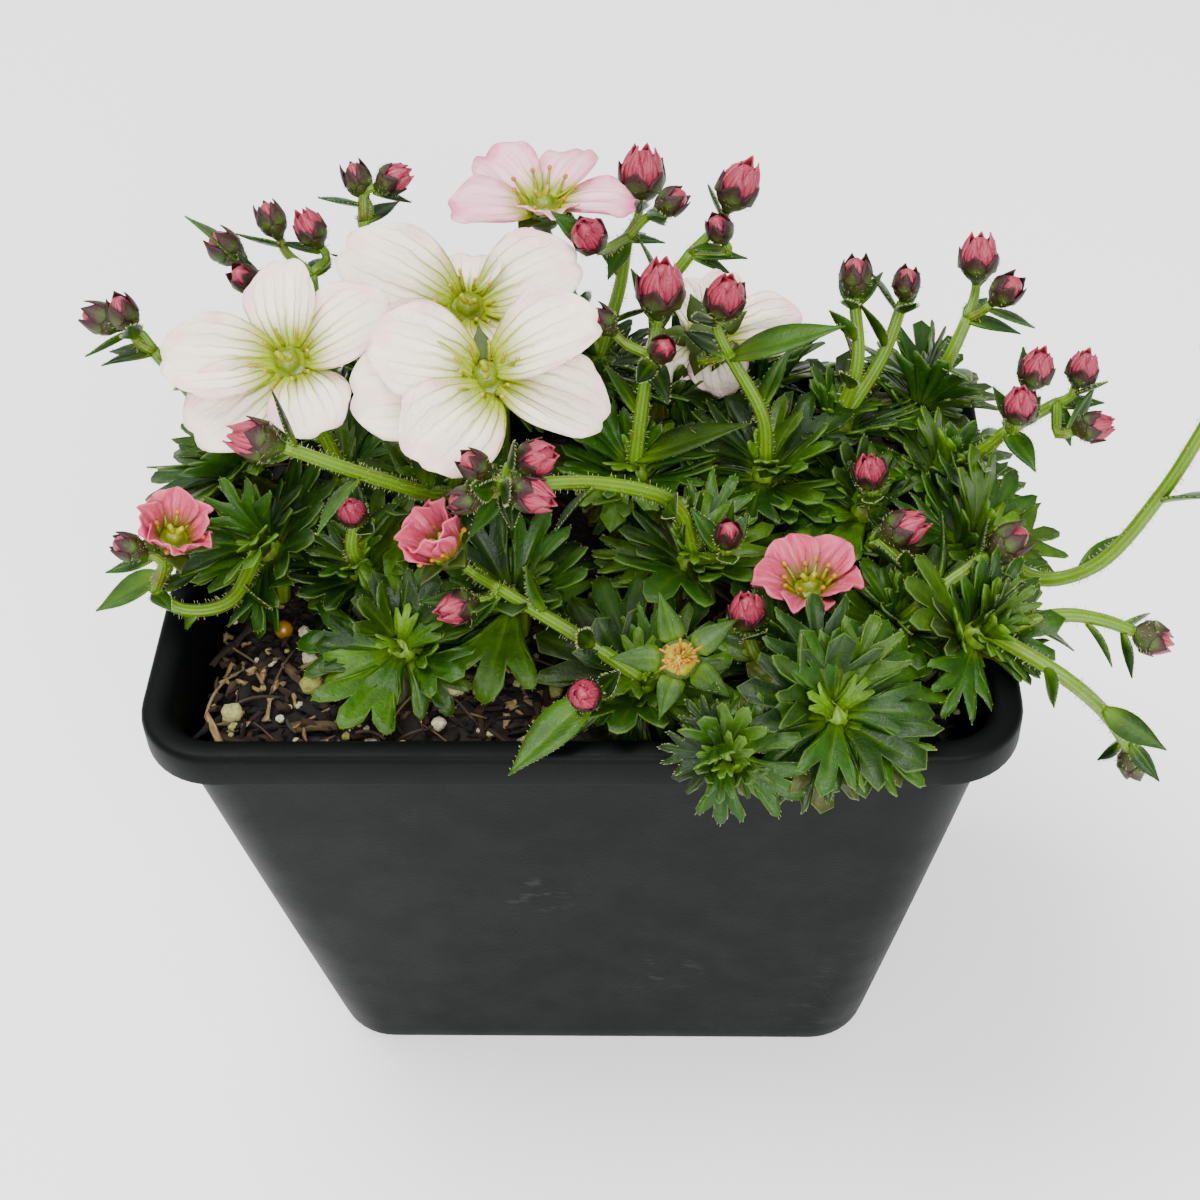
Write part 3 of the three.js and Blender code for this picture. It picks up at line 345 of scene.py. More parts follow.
def chance(n: float, salt: float) -> float:
    """One repeatable draw from 0 to 1, as a plain number."""
    return float(draw(n, salt))


def woven(*parts: Array) -> Array:
    """Points from their coordinates, each of which is spread over the same grid."""
    return np.stack(np.broadcast_arrays(*parts), -1)


def shares(rows: int, cols: int) -> tuple[Array, Array]:
    """A column of shares from 0 to 1 along a surface, and a row from -1 to 1 across it."""
    return np.linspace(0, 1, rows)[:, None], np.linspace(-1, 1, cols)[None]


def spoke(angle: float) -> Array:
    """The level unit vector at an angle from +X."""
    return np.array([math.cos(angle), math.sin(angle), 0])


def ball(radius: Array | float, rows: int, cols: int, margin: float, flat: float = 1.0) -> Array:
    """A grid of rings round a ball: radius times the sines and cosines of its two angles.

    Args:
        radius: The radius, or one for each point.
        rows: The number of rings.
        cols: The points of each ring.
        margin: The angle that is left out at each pole.
        flat: A factor on its height.

    Returns:
        The grid, from its lowest ring up.
    """
    u = np.linspace(margin, math.pi - margin, rows)[:, None]
    v = np.linspace(0, 2 * np.pi, cols, endpoint=False)[None]
    return woven(radius * np.sin(u) * np.cos(v), radius * np.sin(u) * np.sin(v),
                 -flat * radius * np.cos(u) + 0 * v)


def unit(vectors: Array) -> Array:
    """Vectors of length one along the given ones, which may be any stack of them."""
    return vectors / np.maximum(np.linalg.norm(vectors, axis=-1, keepdims=True), 1e-12)


def turn_between(start: Array, end: Array) -> Array:
    """The least turn from one unit vector to another: I + K + K*K / (1 + cosine)."""
    x, y, z = np.cross(start, end)
    skew = np.array([[0, -z, y], [z, 0, -x], [-y, x, 0]])
    return np.eye(3) + skew + skew @ skew / max(1 + start @ end, 1e-9)


def turn_z(angle: float) -> Array:
    """A turn about +Z."""
    c, s = math.cos(angle), math.sin(angle)
    return np.array([[c, -s, 0], [s, c, 0], [0, 0, 1]])


def tip_up(angle: float) -> Array:
    """A turn that lifts +X towards +Z."""
    c, s = math.cos(angle), math.sin(angle)
    return np.array([[c, 0, -s], [0, 1, 0], [s, 0, c]])


def facing(direction: Array, turn: float = 0.0) -> Array:
    """The turn that takes +Z to a direction, after a turn about +Z."""
    return turn_between(UP, direction) @ turn_z(turn)


def spread_round(direction: Array, axis: Array) -> Array:
    """A frame whose X is the given direction made square to the axis, and whose Z is the axis."""
    out = unit(direction - (direction @ axis) * axis)
    return np.column_stack([out, np.cross(axis, out), axis])


def smooth_line(points: list[Array], step: float) -> Array:
    """Even points along a centripetal Catmull-Rom curve through the given ones.

    Each span is a cubic whose end slopes come from the neighbours, weighted by the square roots of
    the distances between them, with the first and last spans carried straight on.

    Args:
        points: The points that it passes.
        step: The distance between the points that it gives.

    Returns:
        An array of points.
    """
    p = np.array([2 * points[0] - points[1], *points, 2 * points[-1] - points[-2]], float)
    t = np.linspace(0, 1, SPAN_POINTS)[:, None]
    spans = []
    for k in range(1, len(p) - 2):
        a, b, c, d = p[k - 1:k + 3]
        before, between, after = (max(np.linalg.norm(v), 1e-4) ** 0.5
                                  for v in (b - a, c - b, d - c))
        leave = ((b - a) / before - (c - a) / (before + between) + (c - b) / between) * between
        arrive = ((c - b) / between - (d - b) / (between + after) + (d - c) / after) * between
        cubic = b + leave * t + (3 * (c - b) - 2 * leave - arrive) * t ** 2
        spans.append(cubic + (2 * (b - c) + leave + arrive) * t ** 3)
    dense = np.concatenate(spans)
    run = np.concatenate([[0], np.cumsum(np.linalg.norm(np.diff(dense, axis=0), axis=1))])
    even = np.linspace(0, run[-1], max(4, round(run[-1] / step)))
    return np.column_stack([np.interp(even, run, dense[:, k]) for k in range(3)])


def carried_frames(line: Array) -> tuple[Array, Array, Array]:
    """Tangent, normal and binormal at each point of a line, turned no more than the line is.

    Args:
        line: The points of the line.

    Returns:
        Three arrays of unit vectors.
    """
    tangent = unit(np.gradient(line, axis=0))
    start = np.array([1.0, 0.1, 0.05])
    normals = [unit(start - (start @ tangent[0]) * tangent[0])]
    for before, after in zip(tangent[:-1], tangent[1:]):
        normals.append(turn_between(before, after) @ normals[-1])
    normal = unit(np.array(normals))
    return tangent, normal, np.cross(tangent, normal)


def ring_faces(rows: int, count: int) -> Array:
    """Quads between closed rings of points, row after row."""
    i, j = np.meshgrid(np.arange(rows - 1), np.arange(count), indexing="ij")
    k = (j + 1) % count
    return np.stack([i * count + j, i * count + k, (i + 1) * count + k, (i + 1) * count + j],
                    -1).reshape(-1, 4)


@dataclass
class Patch:
    """A closed piece of surface: its points, its faces by size of face, and a UV for each point."""

    points: Array
    faces: list[Array]
    uvs: Array


def closed_sheet(middle: Array, thickness: Array, uvs: Array) -> Patch:
    """Closes a grid of points into a thin solid.

    Its upper and lower sides are the grid moved by half the thickness along its own normals, which
    are the cross products of its slopes. Each ring runs along the lower side and back along the
    upper one.

    Args:
        middle: The grid, rows from root to tip and columns from right to left as seen from the
            root.
        thickness: The thickness at each point of the grid.
        uvs: Two numbers for each point of the grid.

    Returns:
        The closed patch.
    """
    rows, cols = middle.shape[:2]
    normal = unit(np.cross(np.gradient(middle, axis=0), np.gradient(middle, axis=1)))
    half = normal * thickness[..., None] / 2
    ring = np.concatenate([middle - half, (middle + half)[:, ::-1]], axis=1)
    low = np.arange(cols - 1)
    high = 2 * cols - 1 - low
    start = np.stack([low, high, high - 1, low + 1], -1)
    end = np.stack([low, low + 1, high - 1, high], -1) + (rows - 1) * 2 * cols
    faces = np.concatenate([ring_faces(rows, 2 * cols), start, end])
    both = np.concatenate([uvs, uvs[:, ::-1]], axis=1)
    return Patch(ring.reshape(-1, 3), [faces], both.reshape(-1, 2))


def closed_tube(rings: Array, along: Array | None = None) -> Patch:
    """Closes rings of points into a body, with a pole in the middle of each end.

    Args:
        rings: Rows of equal rings, each turning to the left as seen from the far end.
        along: The second UV number of each ring, or none for its row's share of the whole.

    Returns:
        The closed patch, whose first UV number runs from 0 to 1 and back round each ring.
    """
    rows, count = rings.shape[:2]
    poles = np.stack([rings[0].mean(0), rings[-1].mean(0)])
    run = np.linspace(0, 1, rows) if along is None else along
    around = np.abs(2 * np.arange(count) / count - 1)
    uvs = woven(around[None], run[:, None]).reshape(-1, 2)
    ends = np.array([[0.5, run[0]], [0.5, run[-1]]])
    j = np.arange(count)
    k = (j + 1) % count
    start = np.stack([k, j, np.full(count, rows * count)], -1)
    last = (rows - 1) * count
    end = np.stack([last + j, last + k, np.full(count, rows * count + 1)], -1)
    points = np.concatenate([rings.reshape(-1, 3), poles])
    return Patch(points, [ring_faces(rows, count), start, end], np.concatenate([uvs, ends]))


def swept_tube(line: Array, radii: Array, sides: int) -> Patch:
    """A round body of varying radius along a line.

    Args:
        line: The points of the line.
        radii: The radius at each of them.
        sides: The points of each ring.

    Returns:
        The closed patch.
    """
    _, normal, binormal = carried_frames(line)
    angle = np.linspace(0, 2 * np.pi, sides, endpoint=False)[None, :, None]
    ring = normal[:, None] * np.cos(angle) + binormal[:, None] * np.sin(angle)
    run = np.concatenate([[0], np.cumsum(np.linalg.norm(np.diff(line, axis=0), axis=1))])
    return closed_tube(line[:, None] + ring * radii[:, None, None], run)


def turned_body(profile: Profile, at: Array, rotation: Array, sides: int, scale: float = 1.0,
                ribs: float = 0.0) -> Patch:
    """A turned body: radius and height along its axis, with five shallow ribs round it.

    Args:
        profile: Radius and height of each ring.
        at: Where height zero is.
        rotation: The matrix whose third column is the axis.
        sides: The points of each ring.
        scale: A factor on the whole.
        ribs: How far the ribs stand out, as a share of the radius.

    Returns:
        The closed patch.
    """
    radius, height = np.array(profile, float).T
    angle = np.linspace(0, 2 * np.pi, sides, endpoint=False)
    swell = 1 + ribs * np.cos(SIDES * angle)
    x, y = np.cos(angle) * swell, np.sin(angle) * swell
    ring = np.stack([np.outer(radius, x), np.outer(radius, y),
                     np.broadcast_to(height[:, None], (len(radius), sides))], -1)
    return closed_tube(at + scale * ring @ rotation.T)


def spikes(bases: Array, aims: Array, lengths: Array, width: float) -> Patch:
    """Many hairs at once: three-sided spikes, each a little thicker near its tip, as a gland is.

    Args:
        bases: Where the hairs stand.
        aims: The ways that they point.
        lengths: Their lengths.
        width: The width of each at its foot.

    Returns:
        One patch with all of them, each closed.
    """
    count = len(bases)
    aims = unit(aims)
    side = unit(np.cross(aims, np.array([0.31, 0.87, 0.4])))
    other = np.cross(aims, side)
    angle = np.arange(3)[None, :, None] * 2 * np.pi / 3
    ring = side[:, None] * np.cos(angle) + other[:, None] * np.sin(angle)
    low = bases[:, None] + ring * width / 2
    high = bases[:, None] + aims[:, None] * lengths[:, None,
                                                    None] * GLAND_AT + ring * width * GLAND_WIDTH
    tip = (bases + aims * lengths[:, None])[:, None]
    points = np.concatenate([low, high, tip], axis=1)
    step = HAIR_POINTS * np.arange(count)[:, None, None]
    quads = np.array([[0, 1, 4, 3], [1, 2, 5, 4], [2, 0, 3, 5]])
    tris = np.array([[3, 4, 6], [4, 5, 6], [5, 3, 6], [2, 1, 0]])
    run = np.tile([0, 0, 0, GLAND_AT, GLAND_AT, GLAND_AT, 1.0], count)
    uvs = np.column_stack([np.full(len(run), 0.5), run])
    return Patch(points.reshape(-1, 3),
                 [(quads + step).reshape(-1, 4), (tris + step).reshape(-1, 3)], uvs)


def add_object(name: str, data: bpy.types.ID) -> bpy.types.Object:
    """Makes an object of some data and links it to the scene."""
    made = bpy.data.objects.new(name, data)
    bpy.context.scene.collection.objects.link(made)
    return made


def stance(basis: Array, place: Array) -> Matrix:
    """The matrix of an object at a place, with its axes along the columns of the basis."""
    return Matrix(np.vstack([np.column_stack([basis, place]), [0, 0, 0, 1]]).tolist())


class Shell:
    """Gathers patches and makes one mesh of them, with their UVs, tones and finishes."""

    def __init__(self) -> None:
        """Starts with no patch."""
        self.points: list[Array] = []
        self.uvs: list[Array] = []
        self.tones: list[Array] = []
        self.faces: list[Array] = []
        self.finishes: list[Array] = []
        self.count = 0

    def add(self, patch: Patch, finish: int = 0, tone: Point = (0.5, 0, 0)) -> None:
        """Adds a patch.

        Args:
            patch: What is added.
            finish: The number of its material.
            tone: A random share, an age, and a spare number that its material may read.
        """
        for faces in patch.faces:
            self.faces.append(faces + self.count)
            self.finishes.append(np.full(len(faces), int(finish)))
        self.points.append(patch.points)
        self.uvs.append(patch.uvs)
        self.tones.append(np.broadcast_to(np.array(tone, float), (len(patch.points), 3)))
        self.count += len(patch.points)

    def piece(self, name: str, materials: list[bpy.types.Material]) -> bpy.types.Object:
        """Makes the object, in metres.

        Args:
            name: The piece's name.
            materials: Its materials, in the order of the finishes' numbers.

        Returns:
            The object, linked to the scene.
        """
        mesh = bpy.data.meshes.new(name)
        points = np.concatenate(self.points) * MM
        corners = np.concatenate([f.ravel() for f in self.faces])
        sizes = np.concatenate([np.full(len(f), f.shape[1]) for f in self.faces])
        starts = np.concatenate([[0], np.cumsum(sizes)[:-1]])
        mesh.vertices.add(len(points))
        mesh.vertices.foreach_set("co", points.astype(np.float32).ravel())
        mesh.loops.add(len(corners))
        mesh.loops.foreach_set("vertex_index", corners.astype(np.int32))
        mesh.polygons.add(len(starts))
        mesh.polygons.foreach_set("loop_start", starts.astype(np.int32))
        mesh.polygons.foreach_set("material_index", np.concatenate(self.finishes).astype(np.int32))
        mesh.polygons.foreach_set("use_smooth", np.ones(len(starts), bool))
        mesh.update(calc_edges=True)
        uvs = np.concatenate(self.uvs)[corners]
        mesh.uv_layers.new(name="UVMap").data.foreach_set("uv", uvs.astype(np.float32).ravel())
        tone = mesh.attributes.new("tone", "FLOAT_VECTOR", "POINT")
        tone.data.foreach_set("vector", np.concatenate(self.tones).astype(np.float32).ravel())
        mesh.validate()
        for material in materials:
            mesh.materials.append(material)
        return add_object(name, mesh)


def linear(code: str) -> tuple[float, float, float, float]:
    """A colour such as 4f8a2a as the linear values that a shader takes."""
    parts = np.array([int(code[k:k + 2], 16) for k in (0, 2, 4)]) / 255
    values = np.where(parts <= 0.04045, parts / 12.92, ((parts + 0.055) / 1.055) ** 2.4)
    return (*values.tolist(), 1.0)


Socket = bpy.types.NodeSocket
Value = Socket | float | str | tuple


class SocketKind(Enum):
    """What a socket of a node group carries."""

    VECTOR = "NodeSocketVector"
    NUMBER = "NodeSocketFloat"
    COLOUR = "NodeSocketColor"


class Graph:
    """Places and links the nodes of one tree."""

    def __init__(self, tree: bpy.types.NodeTree) -> None:
        """Keeps the tree."""
        self.tree = tree

    def feed(self, entry: Socket, value: Value) -> None:
        """Gives an input a plain value, a colour by its code, or the socket that it comes from."""
        if isinstance(value, Socket):
            self.tree.links.new(value, entry)
        else:
            entry.default_value = linear(value) if isinstance(value, str) else value

    def put(self, kind: str, ins: dict[str | int, Value] | None = None,
            **settings) -> bpy.types.Node:
        """Adds a node.

        Args:
            kind: Its type.
            ins: Its inputs, by name or number.
            settings: Its own settings.

        Returns:
            The node.
        """
        node = self.tree.nodes.new(kind)
        for key, value in settings.items():
            setattr(node, key, value)
        for key, value in (ins or {}).items():
            self.feed(node.inputs[key], value)
        return node

    def math(self, operation: str, a: Value, b: Value = 0.0, clamp: bool = False) -> Socket:
        """One operation on two numbers, kept between 0 and 1 if asked."""
        node = self.put("ShaderNodeMath", {0: a, 1: b}, operation=operation, use_clamp=clamp)
        return node.outputs[0]

    def times(self, a: Value, b: Value) -> Socket:
        """The product of two numbers."""
        return self.math("MULTIPLY", a, b)

    def plus(self, a: Value, b: Value) -> Socket:
        """The sum of two numbers."""
        return self.math("ADD", a, b)

    def minus(self, a: Value, b: Value) -> Socket:
        """The first number less the second."""
        return self.math("SUBTRACT", a, b)

    def most(self, a: Value, b: Value) -> Socket:
        """The larger of two numbers."""
        return self.math("MAXIMUM", a, b)

    def ramp(self, value: Value, low: float, high: float, start: float = 0.0,
             end: float = 1.0) -> Socket:
        """A smooth step from start to end, as the value goes from low to high."""
        ins = {"Value": value, "From Min": low, "From Max": high, "To Min": start, "To Max": end}
        return self.put("ShaderNodeMapRange", ins, interpolation_type="SMOOTHSTEP").outputs[0]

    def blend(self, share: Value, a: Value, b: Value) -> Socket:
        """A colour between two."""
        return self.put("ShaderNodeMix", {0: share, 6: a, 7: b}, data_type="RGBA").outputs[2]

    def split(self, vector: Value) -> tuple[Socket, ...]:
        """The three numbers of a vector."""
        return tuple(self.put("ShaderNodeSeparateXYZ", {0: vector}).outputs)

    def scaled(self, vector: Value, scale: Point, rotation: Point = (0.0, 0.0, 0.0)) -> Socket:
        """A vector times a scale along each axis, and turned."""
        ins = {"Vector": vector, "Scale": scale, "Rotation": rotation}
        return self.put("ShaderNodeMapping", ins).outputs[0]

    def noise(self, vector: Value, scale: Value, detail: float = 3.0) -> Socket:
        """Noise from 0 to 1 about a middle of one half."""
        ins = {"Vector": vector, "Scale": scale, "Detail": detail, "Roughness": 0.55}
        return self.put("ShaderNodeTexNoise", ins).outputs[0]


def new_group(name: str, ins: dict[str, SocketKind],
              outs: dict[str, SocketKind]) -> tuple[Graph, dict, dict]:
    """Starts a shader node group with named sockets.

    Args:
        name: Its name.
        ins: The kind of each input.
        outs: The kind of each output.

    Returns:
        Its graph, its input sockets and its output sockets, by name.
    """
    tree = bpy.data.node_groups.new(name, "ShaderNodeTree")
    for way, sockets in (("INPUT", ins), ("OUTPUT", outs)):
        for key, kind in sockets.items():
            tree.interface.new_socket(key, in_out=way, socket_type=kind.value)
    graph = Graph(tree)
    inner = graph.put("NodeGroupInput").outputs
    outer = graph.put("NodeGroupOutput").inputs
    return graph, {key: inner[key] for key in ins}, {key: outer[key] for key in outs}


class Effects:
    """The shader node groups that several finishes share, each built once."""

    def __init__(self) -> None:
        """Builds the groups."""
        self.mottle = self._mottle()
        self.veins = self._veins()
        self.relief = self._relief()

    @staticmethod
    def _mottle() -> bpy.types.NodeTree:
        """Lays a second colour over a first in soft patches of two sizes."""
        ins = {"Place": SocketKind.VECTOR, "Scale": SocketKind.NUMBER, "Amount": SocketKind.NUMBER,
               "Base": SocketKind.COLOUR, "Patch": SocketKind.COLOUR}
        graph, ins, outs = new_group("soft_mottle", ins, {"Color": SocketKind.COLOUR})
        coarse = graph.noise(ins["Place"], ins["Scale"], 2.0)
        fine = graph.noise(ins["Place"], graph.times(ins["Scale"], 4.7), 4.0)
        both = graph.plus(graph.times(coarse, 0.65), graph.times(fine, 0.35))
        mask = graph.times(graph.ramp(both, 0.38, 0.64), ins["Amount"])
        graph.feed(outs["Color"], graph.blend(mask, ins["Base"], ins["Patch"]))
        return graph.tree

    @staticmethod
    def _veins() -> bpy.types.NodeTree:
        """A main vein in the middle of each lobe, and finer ones beside it that fade to the tip.

        The first UV number counts lobes, so its fractional part is the place across a lobe. The
        main vein is where that is near one half, and the side veins are where a multiple of it
        passes a whole number.
        """
        ins = {"UV": SocketKind.VECTOR, "Width": SocketKind.NUMBER, "Side Veins": SocketKind.NUMBER,
               "Reach": SocketKind.NUMBER}
        outs = {"Mask": SocketKind.NUMBER, "Side Mask": SocketKind.NUMBER}
        graph, ins, outs = new_group("lobe_veins", ins, outs)
        across, along, _ = graph.split(ins["UV"])
        wobble = graph.times(graph.minus(graph.noise(ins["UV"], 4.0, 1.0), 0.5), 0.09)
        place = graph.plus(graph.math("FRACT", across), wobble)
        off = graph.math("ABSOLUTE", graph.minus(place, 0.5))
        main = graph.minus(1.0, graph.math("DIVIDE", off, ins["Width"], clamp=True))
        fade = graph.minus(1.0, graph.math("DIVIDE", along, ins["Reach"], clamp=True))
        soft = graph.math("POWER", fade, 0.6)
        wave = graph.math("PINGPONG", graph.times(place, ins["Side Veins"]), 0.5)
        graph.feed(outs["Mask"], graph.times(main, soft))
        graph.feed(outs["Side Mask"], graph.times(graph.ramp(wave, 0.14, 0.02), soft))
        return graph.tree

    @staticmethod
    def _relief() -> bpy.types.NodeTree:
        """The height of a fine uneven skin: noise at one scale and a finer grain over it."""
        ins = {"Place": SocketKind.VECTOR, "Scale": SocketKind.NUMBER}
        graph, ins, outs = new_group("fine_relief", ins, {"Height": SocketKind.NUMBER})
        broad = graph.noise(ins["Place"], ins["Scale"])
        grain = graph.noise(ins["Place"], graph.times(ins["Scale"], 3.1), 2.0)
        graph.feed(outs["Height"], graph.plus(broad, graph.times(grain, 0.4)))
        return graph.tree


EFFECTS = Effects()


@dataclass(frozen=True)
class Coat:
    """A material while a finish paints it.

    Args:
        graph: Its graph.
        shader: Its Principled shader.
        place: The object coordinates.
        uv: The piece's own UV map.
        height: The fine relief's height.
    """

    graph: Graph
    shader: bpy.types.Node
    place: Socket
    uv: Socket
    height: Socket

    def tone(self) -> tuple[Socket, ...]:
        """The random share, the age and the spare number that each patch carries."""
        return self.graph.split(self.graph.put("ShaderNodeAttribute",
                                               attribute_name="tone").outputs["Vector"])

    def mottled(self, base: Value, patch: Value, scale: float, amount: float) -> Socket:
        """A colour with soft patches of another, at a scale and up to an amount."""
        ins = {"Place": self.place, "Scale": scale, "Amount": amount, "Base": base, "Patch": patch}
        return self.graph.put("ShaderNodeGroup", ins, node_tree=EFFECTS.mottle).outputs["Color"]

    def veins(self, width: float, side_veins: float, reach: float) -> tuple[Socket, Socket]:
        """The masks of the main and the side veins."""
        ins = {"UV": self.uv, "Width": width, "Side Veins": side_veins, "Reach": reach}
        outs = self.graph.put("ShaderNodeGroup", ins, node_tree=EFFECTS.veins).outputs
        return outs["Mask"], outs["Side Mask"]

    def colour(self, value: Socket) -> None:
        """Sets the base colour."""
        self.graph.feed(self.shader.inputs["Base Color"], value)

    def rough(self, scale: float, low: float, high: float, start: float, end: float) -> Socket:
        """Lets the roughness go from start to end, as noise of a scale goes from low to high."""
        value = self.graph.ramp(self.graph.noise(self.place, scale), low, high, start, end)
        self.graph.feed(self.shader.inputs["Roughness"], value)
        return value

    def flesh(self, weight: float, radius: Point, scale: float) -> None:
        """Lets light into the skin: how much, how far for red, green and blue, and in what unit."""
        for key, value in (("Weight", weight), ("Radius", radius), ("Scale", scale)):
            self.shader.inputs[f"Subsurface {key}"].default_value = value


@dataclass(frozen=True)
class Finish:
    """A finish: its name, and the plain values of its shader.

    Args:
        name: The material's name.
        roughness: The middle roughness.
        relief: The strength of the fine relief, from 0 to 1.
        relief_scale: The number of its grains to a metre.
        shine: The shader's specular level.
    """

    name: str
    roughness: float = 0.5
    relief: float = 0.2
    relief_scale: float = 1500.0
    shine: float = 0.5
    relief_depth: ClassVar[float] = 0.0004
    made: ClassVar[dict[str, bpy.types.Material]] = {}

    def material(self) -> bpy.types.Material:
        """Makes the material, or gives the one that was made before."""
        if self.name in self.made:
            return self.made[self.name]
        made = self.made[self.name] = bpy.data.materials.new(self.name)
        made.use_nodes = True
        graph = Graph(made.node_tree)
        shader = made.node_tree.nodes["Principled BSDF"]
        shader.inputs["Roughness"].default_value = self.roughness
        shader.inputs["Specular IOR Level"].default_value = self.shine
        source = graph.put("ShaderNodeTexCoord").outputs
        ins = {"Place": source["Object"], "Scale": self.relief_scale}
        height = graph.put("ShaderNodeGroup", ins, node_tree=EFFECTS.relief).outputs["Height"]
        total = self.paint(Coat(graph, shader, source["Object"], source["UV"], height))
        ins = {"Strength": self.relief, "Distance": self.relief_depth, "Height": total}
        graph.feed(shader.inputs["Normal"], graph.put("ShaderNodeBump", ins).outputs[0])
        return made

    def paint(self, coat: Coat) -> Socket:
        """Sets the colour and, if it varies, the roughness.

        Args:
            coat: The material's graph, shader and coordinates.

        Returns:
            The height that the bump reads.
        """
        raise NotImplementedError


@dataclass(frozen=True)
class PlasticFinish(Finish):
    """Moulded plastic, a little dusty, with a few pale scuffs."""

    colour: str = "040606"
    dust: str = "070909"
    scuff: str = "3a3c3a"

    def paint(self, coat: Coat) -> Socket:
        """Faint dust all over, and short scuffs only where a broad and a fine noise both peak."""
        graph = coat.graph
        where = graph.ramp(graph.noise(coat.place, 48.0, 1.0), 0.63, 0.72)
        slanted = graph.scaled(coat.place, (330.0, 330.0, 700.0), (0, 0.4, 0))
        broken = graph.ramp(graph.noise(slanted, 1.0, 4.0), 0.54, 0.66)
        worn = graph.times(graph.times(where, broken), 0.32)
        dusty = coat.mottled(self.colour, self.dust, 90.0, 0.3)
        coat.colour(graph.blend(worn, dusty, self.scuff))
        rough = coat.rough(160.0, 0.3, 0.7, self.roughness - 0.03, self.roughness + 0.03)
        rough = graph.math("ADD", rough, graph.times(worn, 0.2), clamp=True)
        graph.feed(coat.shader.inputs["Roughness"], rough)
        return graph.minus(coat.height, graph.times(worn, 0.6))


@dataclass(frozen=True)
class SoilFinish(Finish):
    """Damp potting mix: near-black peat with browner patches and a few pale grains."""

    colour: str = "090705"
    patch: str = "1d140c"
    grain: str = "4a3a28"

    def paint(self, coat: Coat) -> Socket:
        """Dark and brown patches, with pale grains where fine cells are small."""
        graph = coat.graph
        cells = graph.put("ShaderNodeTexVoronoi",
                          {"Vector": coat.place, "Scale": 900.0}).outputs["Distance"]
        pale = graph.times(graph.ramp(cells, 0.2, 0.1),
                           graph.ramp(graph.noise(coat.place, 420.0), 0.58, 0.66))
        coat.colour(graph.blend(pale, coat.mottled(self.colour, self.patch, 240.0, 0.8),
                                self.grain))
        coat.rough(150.0, 0.35, 0.7, 0.62, 0.97)
        return graph.plus(coat.height, graph.times(cells, -1.2))


@dataclass(frozen=True)
class LitterFinish(Finish):
    """Loose bits in the soil, each of its own shade between three, with a grain along it."""

    dark: str = "0c0805"
    middle: str = "352312"
    light: str = "a0875a"
    stretch: Point = (6.0, 1.0, 1.0)

    def paint(self, coat: Coat) -> Socket:
        """The shade follows the bit's own tone, and streaks follow its UV map."""
        graph, (own, _, _) = coat.graph, coat.tone()
        low = graph.blend(graph.ramp(own, 0.0, 0.55), self.dark, self.middle)
        body = graph.blend(graph.ramp(own, 0.6, 1.0), low, self.light)
        streaks = graph.noise(graph.scaled(coat.uv, self.stretch), 3.0, 4.0)
        coat.colour(graph.blend(graph.ramp(streaks, 0.35, 0.7, 0.0, 0.6), body, self.dark))
        return graph.plus(coat.height, streaks)


@dataclass(frozen=True)
class LeafFinish(Finish):
    """A fleshy leaf: pale veins, a yellower base, a thin pale rim, and a shade by tone and age."""

    young: str = "527804"
    full: str = "214602"
    deep: str = "0a2001"
    old: str = "3a3205"
    vein: str = "56780c"
    rim: str = "5c7c20"

    def paint(self, coat: Coat) -> Socket:
        """The body colour goes from young to full to old with age, deeper where its tone is low."""
        graph, (own, age, _) = coat.graph, coat.tone()
        _, along, _ = graph.split(coat.uv)
        full = graph.blend(graph.ramp(own, 0.1, 0.9), self.deep, self.full)
        aged = graph.blend(graph.ramp(age, 0.5, 0.0), full, self.young)
        body = graph.blend(graph.ramp(age, 0.62, 1.0, 0.0, 0.85), aged, self.old)
        patchy = coat.mottled(body, self.deep, 420.0, 0.45)
        based = graph.blend(graph.ramp(along, 0.4, 0.0, 0.0, 0.6), patchy, self.vein)
        veins, _ = coat.veins(0.17, 3.0, 1.05)
        lined = graph.blend(graph.times(veins, 0.26), based, self.vein)
        coat.colour(graph.blend(graph.ramp(along, 0.985, 1.0, 0.0, 0.3), lined, self.rim))
        coat.rough(700.0, 0.3, 0.7, self.roughness - 0.08, self.roughness + 0.1)
        coat.flesh(0.12, (0.5, 1.0, 0.15), 0.0008)
        return graph.minus(coat.height, graph.times(veins, 1.6))


@dataclass(frozen=True)
class StemFinish(Finish):
    """A juicy stem: yellow-green, flushed red in patches, with painted shade in its faint rib
    grooves.
    """

    colour: str = "5f8208"
    # Painted shade for the grooves between the ribs
    shade: str = "355c05"
    flush: str = "54300e"

    def paint(self, coat: Coat) -> Socket:
        """Ribs follow the first UV number, with painted shade in their grooves; the flush grows
        with the patch's age number.
        """
        graph, (_, age, _) = coat.graph, coat.tone()
        across, _, _ = graph.split(coat.uv)
        ribs = graph.ramp(graph.math("PINGPONG", graph.times(across, 4.0), 0.5), 0.05, 0.45)
        # Painted shade: the colour darkens towards the shade colour in the same grooves that the
        # bump cuts
        body = graph.blend(graph.times(ribs, 0.55), self.colour, self.shade)
        cloud = graph.ramp(graph.noise(coat.place, 330.0), 0.42, 0.7)
        red = graph.times(cloud, graph.ramp(age, 0.0, 1.0, 0.1, 0.8))
        coat.colour(graph.blend(red, body, self.flush))
        coat.flesh(0.15, (0.6, 1.0, 0.2), 0.001)
        return graph.minus(coat.height, ribs)


